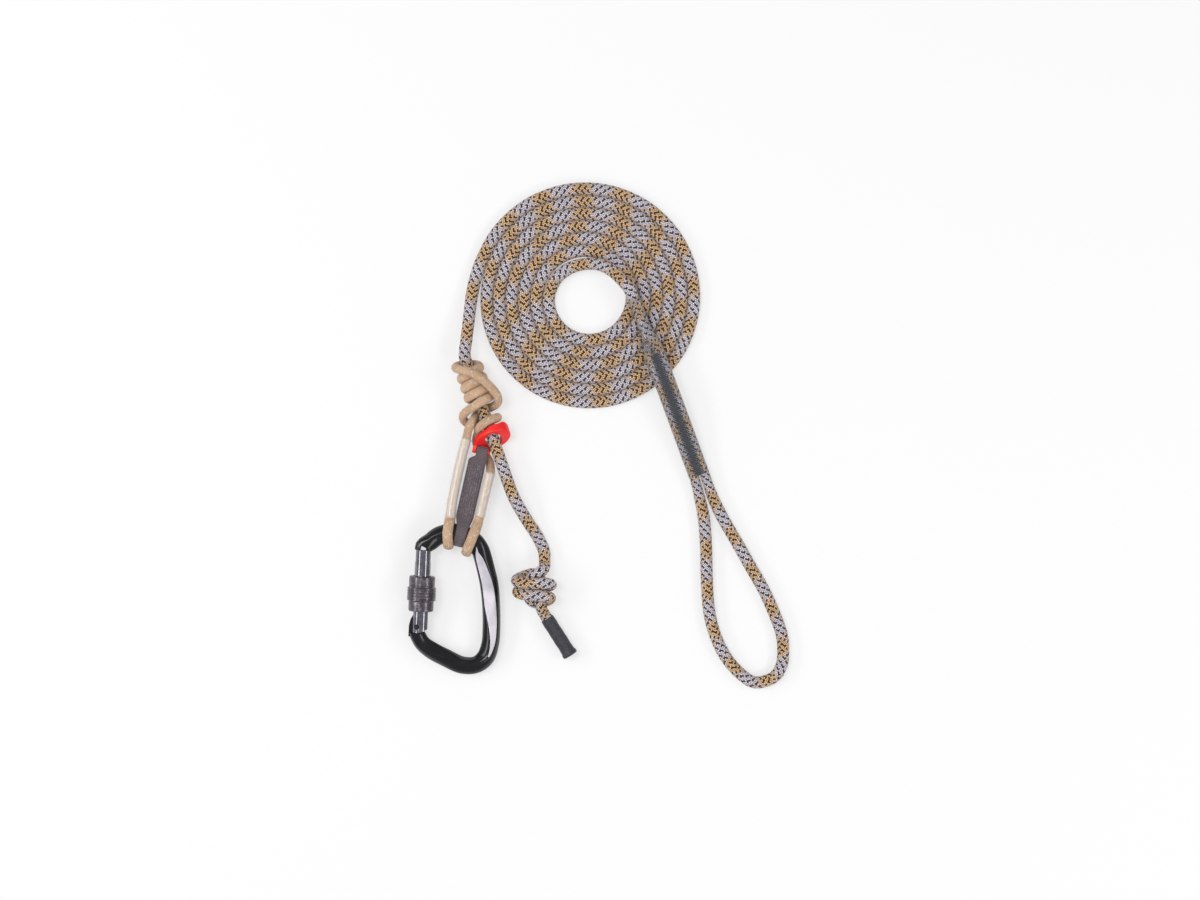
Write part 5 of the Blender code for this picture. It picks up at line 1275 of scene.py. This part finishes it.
def buildCarabinerBody():
    sizes = bodySizes
    toBody = carabinerPlace.inverted() @ gatePlace
    noseRows = []
    for beyond, ridge, roundness in ((sizes["noseDepth"], 0.25, 3.0), (0.0, 0.30, 3.2)):
        place = toBody @ Vector((sizes["gateOffset"], sizes["gateTop"] + beyond, 0)) / millimetre
        noseRows.append((*place.xy, sizes["noseWidth"], -ridge, ridge, roundness, roundness))
    values = smoothRows(bodyRows + noseRows, sizes["rows"] / millimetre)
    gateWay = (toBody.to_3x3() @ Vector((0, 1, 0))).normalized()
    last = len(values) - 1
    rings, flats = [], []
    for i, (x, y, width, inner, outer, innerRound, outerRound) in enumerate(values):
        way = (values[min(last, i + 1)] - values[max(0, i - 1)]).to_3d()
        way.z = 0.0
        way = -gateWay if i in (0, last) else way.normalized()
        side = Vector((way.y, -way.x, 0)) * (width / 2 * millimetre)
        half = bodySection(inner, outer, max(innerRound, sizes["roundest"]),
                           max(outerRound, sizes["roundest"]))
        outline = half + [(across, -up) for across, up in reversed(half[1:-1])]
        centre = Vector((x, y, 0)) * millimetre
        rings.append([carabinerPlace @ (centre + side * across
                                        + upward * (up * sizes["thickness"] / 2))
                      for across, up in outline])
        # rows where the face is wide, low enough and right of the middle carry the pale painted
        # reflection
        flats.append(outer - inner > sizes["facetFrom"] and y < sizes["facetTop"] and x > 0)
    bm = rolledGrid(rings)
    sides, flank, flat = len(rings[0]), sizes["flank"], sizes["flat"]
    uv = bm.loops.layers.uv.active
    for face in (face for face in bm.faces if len(face.loops) == 4):
        u, v = sum((loop[uv].uv for loop in face.loops), Vector((0, 0))) / 4
        row = int(v * last)
        onFlat = any(flank < place < flank + flat - 1 for place in (u * sides, (1 - u) * sides))
        # faces on the flat and on the nose's top get the pale material: painted reflection of the
        # lamps
        face.material_index = int(onFlat and (flats[row] or row > last - sizes["noseRows"]))
    smoothBut(bm, sizes["sharp"])
    piece = addPiece("carabinerBody", joinMeshes([bm, bodyTongue()]), blackAluminium,
                     "carabiner", "aluminium_black", "carabiner_body")
    piece.data.materials.append(flatPaintedReflection)


buildCarabinerBody()

lockingSleeveSizes = {"bore": 0.0061, "low": 0.0086, "grip": 0.00985, "top": 0.0089,
                      "lowEnd": 0.0070, "shoulder": 0.0166, "length": 0.0240, "bevel": 0.0006,
                      "grooves": 4, "grooveDepth": 0.00030, "grooveWidth": 0.0007,
                      "place": 0.0106, "ringGroove": 0.0072, "ringLow": 0.0160,
                      "ringHigh": 0.0180, "undercut": 0.0002, "grooveEdge": 0.0001,
                      # a thin turned line above the shoulder: height and depth
                      "line": [(0.0006, 0.0), (0.0008, 0.0002), (0.0011, 0.0002), (0.0013, 0.0)],
                      "steps": 64}


def knurledAluminium():
    # Grey anodised turned aluminium: fine turning lines all round, a rubbed brownish grey
    material, tree, surface, noises = grainedMaterial(
        "greyAnodisedTurnedAluminium", {"Metallic": 0.75, "Coat Weight": 0.15,
                                        "Coat Roughness": 0.3},
        {"cloud": {"Scale": 350.0, "Detail": 4.0}},
        ("cloud", [(0.30, "#4E474E"), (0.55, "#655F65"), (0.75, "#847E86")]))
    parts = addNode(tree, "SeparateXYZ", None, {0: addNode(tree, "TexCoord").outputs["UV"]})
    along = addNode(tree, "Math", {"operation": "MULTIPLY", 1: 38.0}, {0: parts.outputs[1]})
    turned = addNode(tree, "TexNoise", {"noise_dimensions": "1D", "Scale": 1.0, "Detail": 3.0},
                     {"W": along})
    feed(surface, "Roughness", addNode(tree, "MapRange", {1: 0.3, 2: 0.7, 3: 0.20, 4: 0.36},
                                       {0: turned}))
    feed(surface, "Normal", addNode(tree, "Bump", {"Strength": 0.35, "Distance": 0.00008},
                                    {"Height": turned}))
    return material


def buildLockingSleeve():
    sizes = lockingSleeveSizes
    top, grip, low, bore, groove, bevel, length, lowEnd, shoulder = (sizes[key] for key in (
        "top", "grip", "low", "bore", "ringGroove", "bevel", "length", "lowEnd", "shoulder"))
    profile = [(bore, 0.0), (low - bevel, 0.0), (low, bevel), (low, lowEnd - sizes["undercut"]),
               (grip, lowEnd + bevel)]
    deep, half = grip - sizes["grooveDepth"], sizes["grooveWidth"] / 2
    for k in range(sizes["grooves"]):
        middle = lowEnd + bevel + (shoulder - lowEnd - 2 * bevel) * (k + 0.5) / sizes["grooves"]
        rim = half + sizes["grooveEdge"]
        profile += [(grip, middle - rim), (deep, middle - half / 2), (deep, middle + half / 2),
                    (grip, middle + rim)]
    profile += [(grip, shoulder - bevel), (top, shoulder)]
    profile += [(top - depth, shoulder + height) for height, depth in sizes["line"]]
    profile += [(top, length - bevel), (top - bevel, length), (bore, length),
                (bore, sizes["ringHigh"]), (groove, sizes["ringHigh"]),
                (groove, sizes["ringLow"]), (bore, sizes["ringLow"])]
    turn = (gatePlace @ Matrix.Translation((bodySizes["gateOffset"], sizes["place"], 0))
            @ Matrix.Rotation(-math.pi / 2, 4, "X"))
    addPiece("lockingSleeve", spunShell(profile, sizes["steps"], turn), knurledAluminium(),
             "sleeve", "aluminium_grey", "locking_sleeve")


buildLockingSleeve()


# Turned gate, dyed black and polished: each lamp draws one bright line down its length
polishedGate = grainedMaterial(
    "anodisedTurnedGate", {"Metallic": 0.9, "Coat Weight": 0.5, "Coat Roughness": 0.08},
    {"cloud": {"Scale": 200.0, "Detail": 4.0}, "fine": {"Scale": 1200.0}},
    ("cloud", [(0.30, "#6E6C74"), (0.70, "#888690")]), ("cloud", 0.10, 0.18),
    ("fine", 0.10, 0.00003))[0]


gateSizes = {"sharp": 30, "edge": 0.00025, "bevelled": 40}


def buildGate():
    bm = mergedCopy("gate")
    smoothBut(bm, gateSizes["sharp"])
    piece = addPiece("gateBarrel", bm, polishedGate, "gate", "aluminium_black", "gate")
    bevelCorners(piece, gateSizes["edge"], gateSizes["bevelled"])
    piece.modifiers.new("evenShading", "WEIGHTED_NORMAL")


buildGate()


# Stainless steel, drawn and turned: bright, with short scratches
steel = grainedMaterial(
    "turnedStainlessSteel", {"Metallic": 1.0, "Base Color": hexColour("#BEBDBF")},
    {"scratches": {"Scale": 2400.0}}, None, ("scratches", 0.22, 0.42),
    ("scratches", 0.15, 0.00003))[0]

# Nitrile rubber ring: matt black, slightly powdery
rubber = grainedMaterial(
    "mouldedNitrileRubber", {"Roughness": 0.75}, {"bloom": {"Scale": 800.0, "Detail": 3.0}},
    ("bloom", [(0.35, "#161616"), (0.75, "#2B2B2B")]))[0]

# Hinge pin, black-oxide steel peened flush: dark, dull, with a little bare metal showing
pinSteel = grainedMaterial(
    "blackOxideSteelPin", {"Metallic": 0.8}, {"wear": {"Scale": 1500.0, "Detail": 3.0}},
    ("wear", [(0.35, "#1C1C20"), (0.75, "#4A4A50")]), ("wear", 0.4, 0.6))[0]

springSizes = {"wire": 0.0007, "radius": 0.00215, "turns": 7, "start": 0.01314, "end": 0.02935,
               "fixed": 0.0297, "keep": 0.935, "steps": 16, "sides": 8}


def buildSpring():
    # a coil of wire round the gate's bore line, from its start to its end
    sizes, middle = springSizes, bodySizes["gateOffset"]
    points, count = [], sizes["turns"] * sizes["steps"]
    for k in range(count + 1):
        angle = 2 * math.pi * k / sizes["steps"]
        points.append(gatePlace @ Vector((
            middle + sizes["radius"] * math.cos(angle),
            sizes["start"] + (sizes["end"] - sizes["start"]) * k / count,
            sizes["radius"] * math.sin(angle))))
    rings = cordRings(points, sizes["sides"], lambda run, point: sizes["wire"])
    spring = addPiece("gateSpring", rolledGrid(rings), steel, "gate", "steel", "gate_spring")
    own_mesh(spring)


buildSpring()
for name, material in (("gate_pin", pinSteel), ("spring_plunger", steel),
                       ("sleeve_friction_ring", rubber)):
    nodes[name].data.materials.clear()
    nodes[name].data.materials.append(material)
print("carabiner")


# Each rope path's first point, length and points, worked out and left unused

tuple(mainPath[0])
round(routeLength(mainPath), 3)
[tuple(p) for p in mainPath]
tuple(tailPath[0])
round(routeLength(tailPath), 3)
[tuple(p) for p in tailPath]
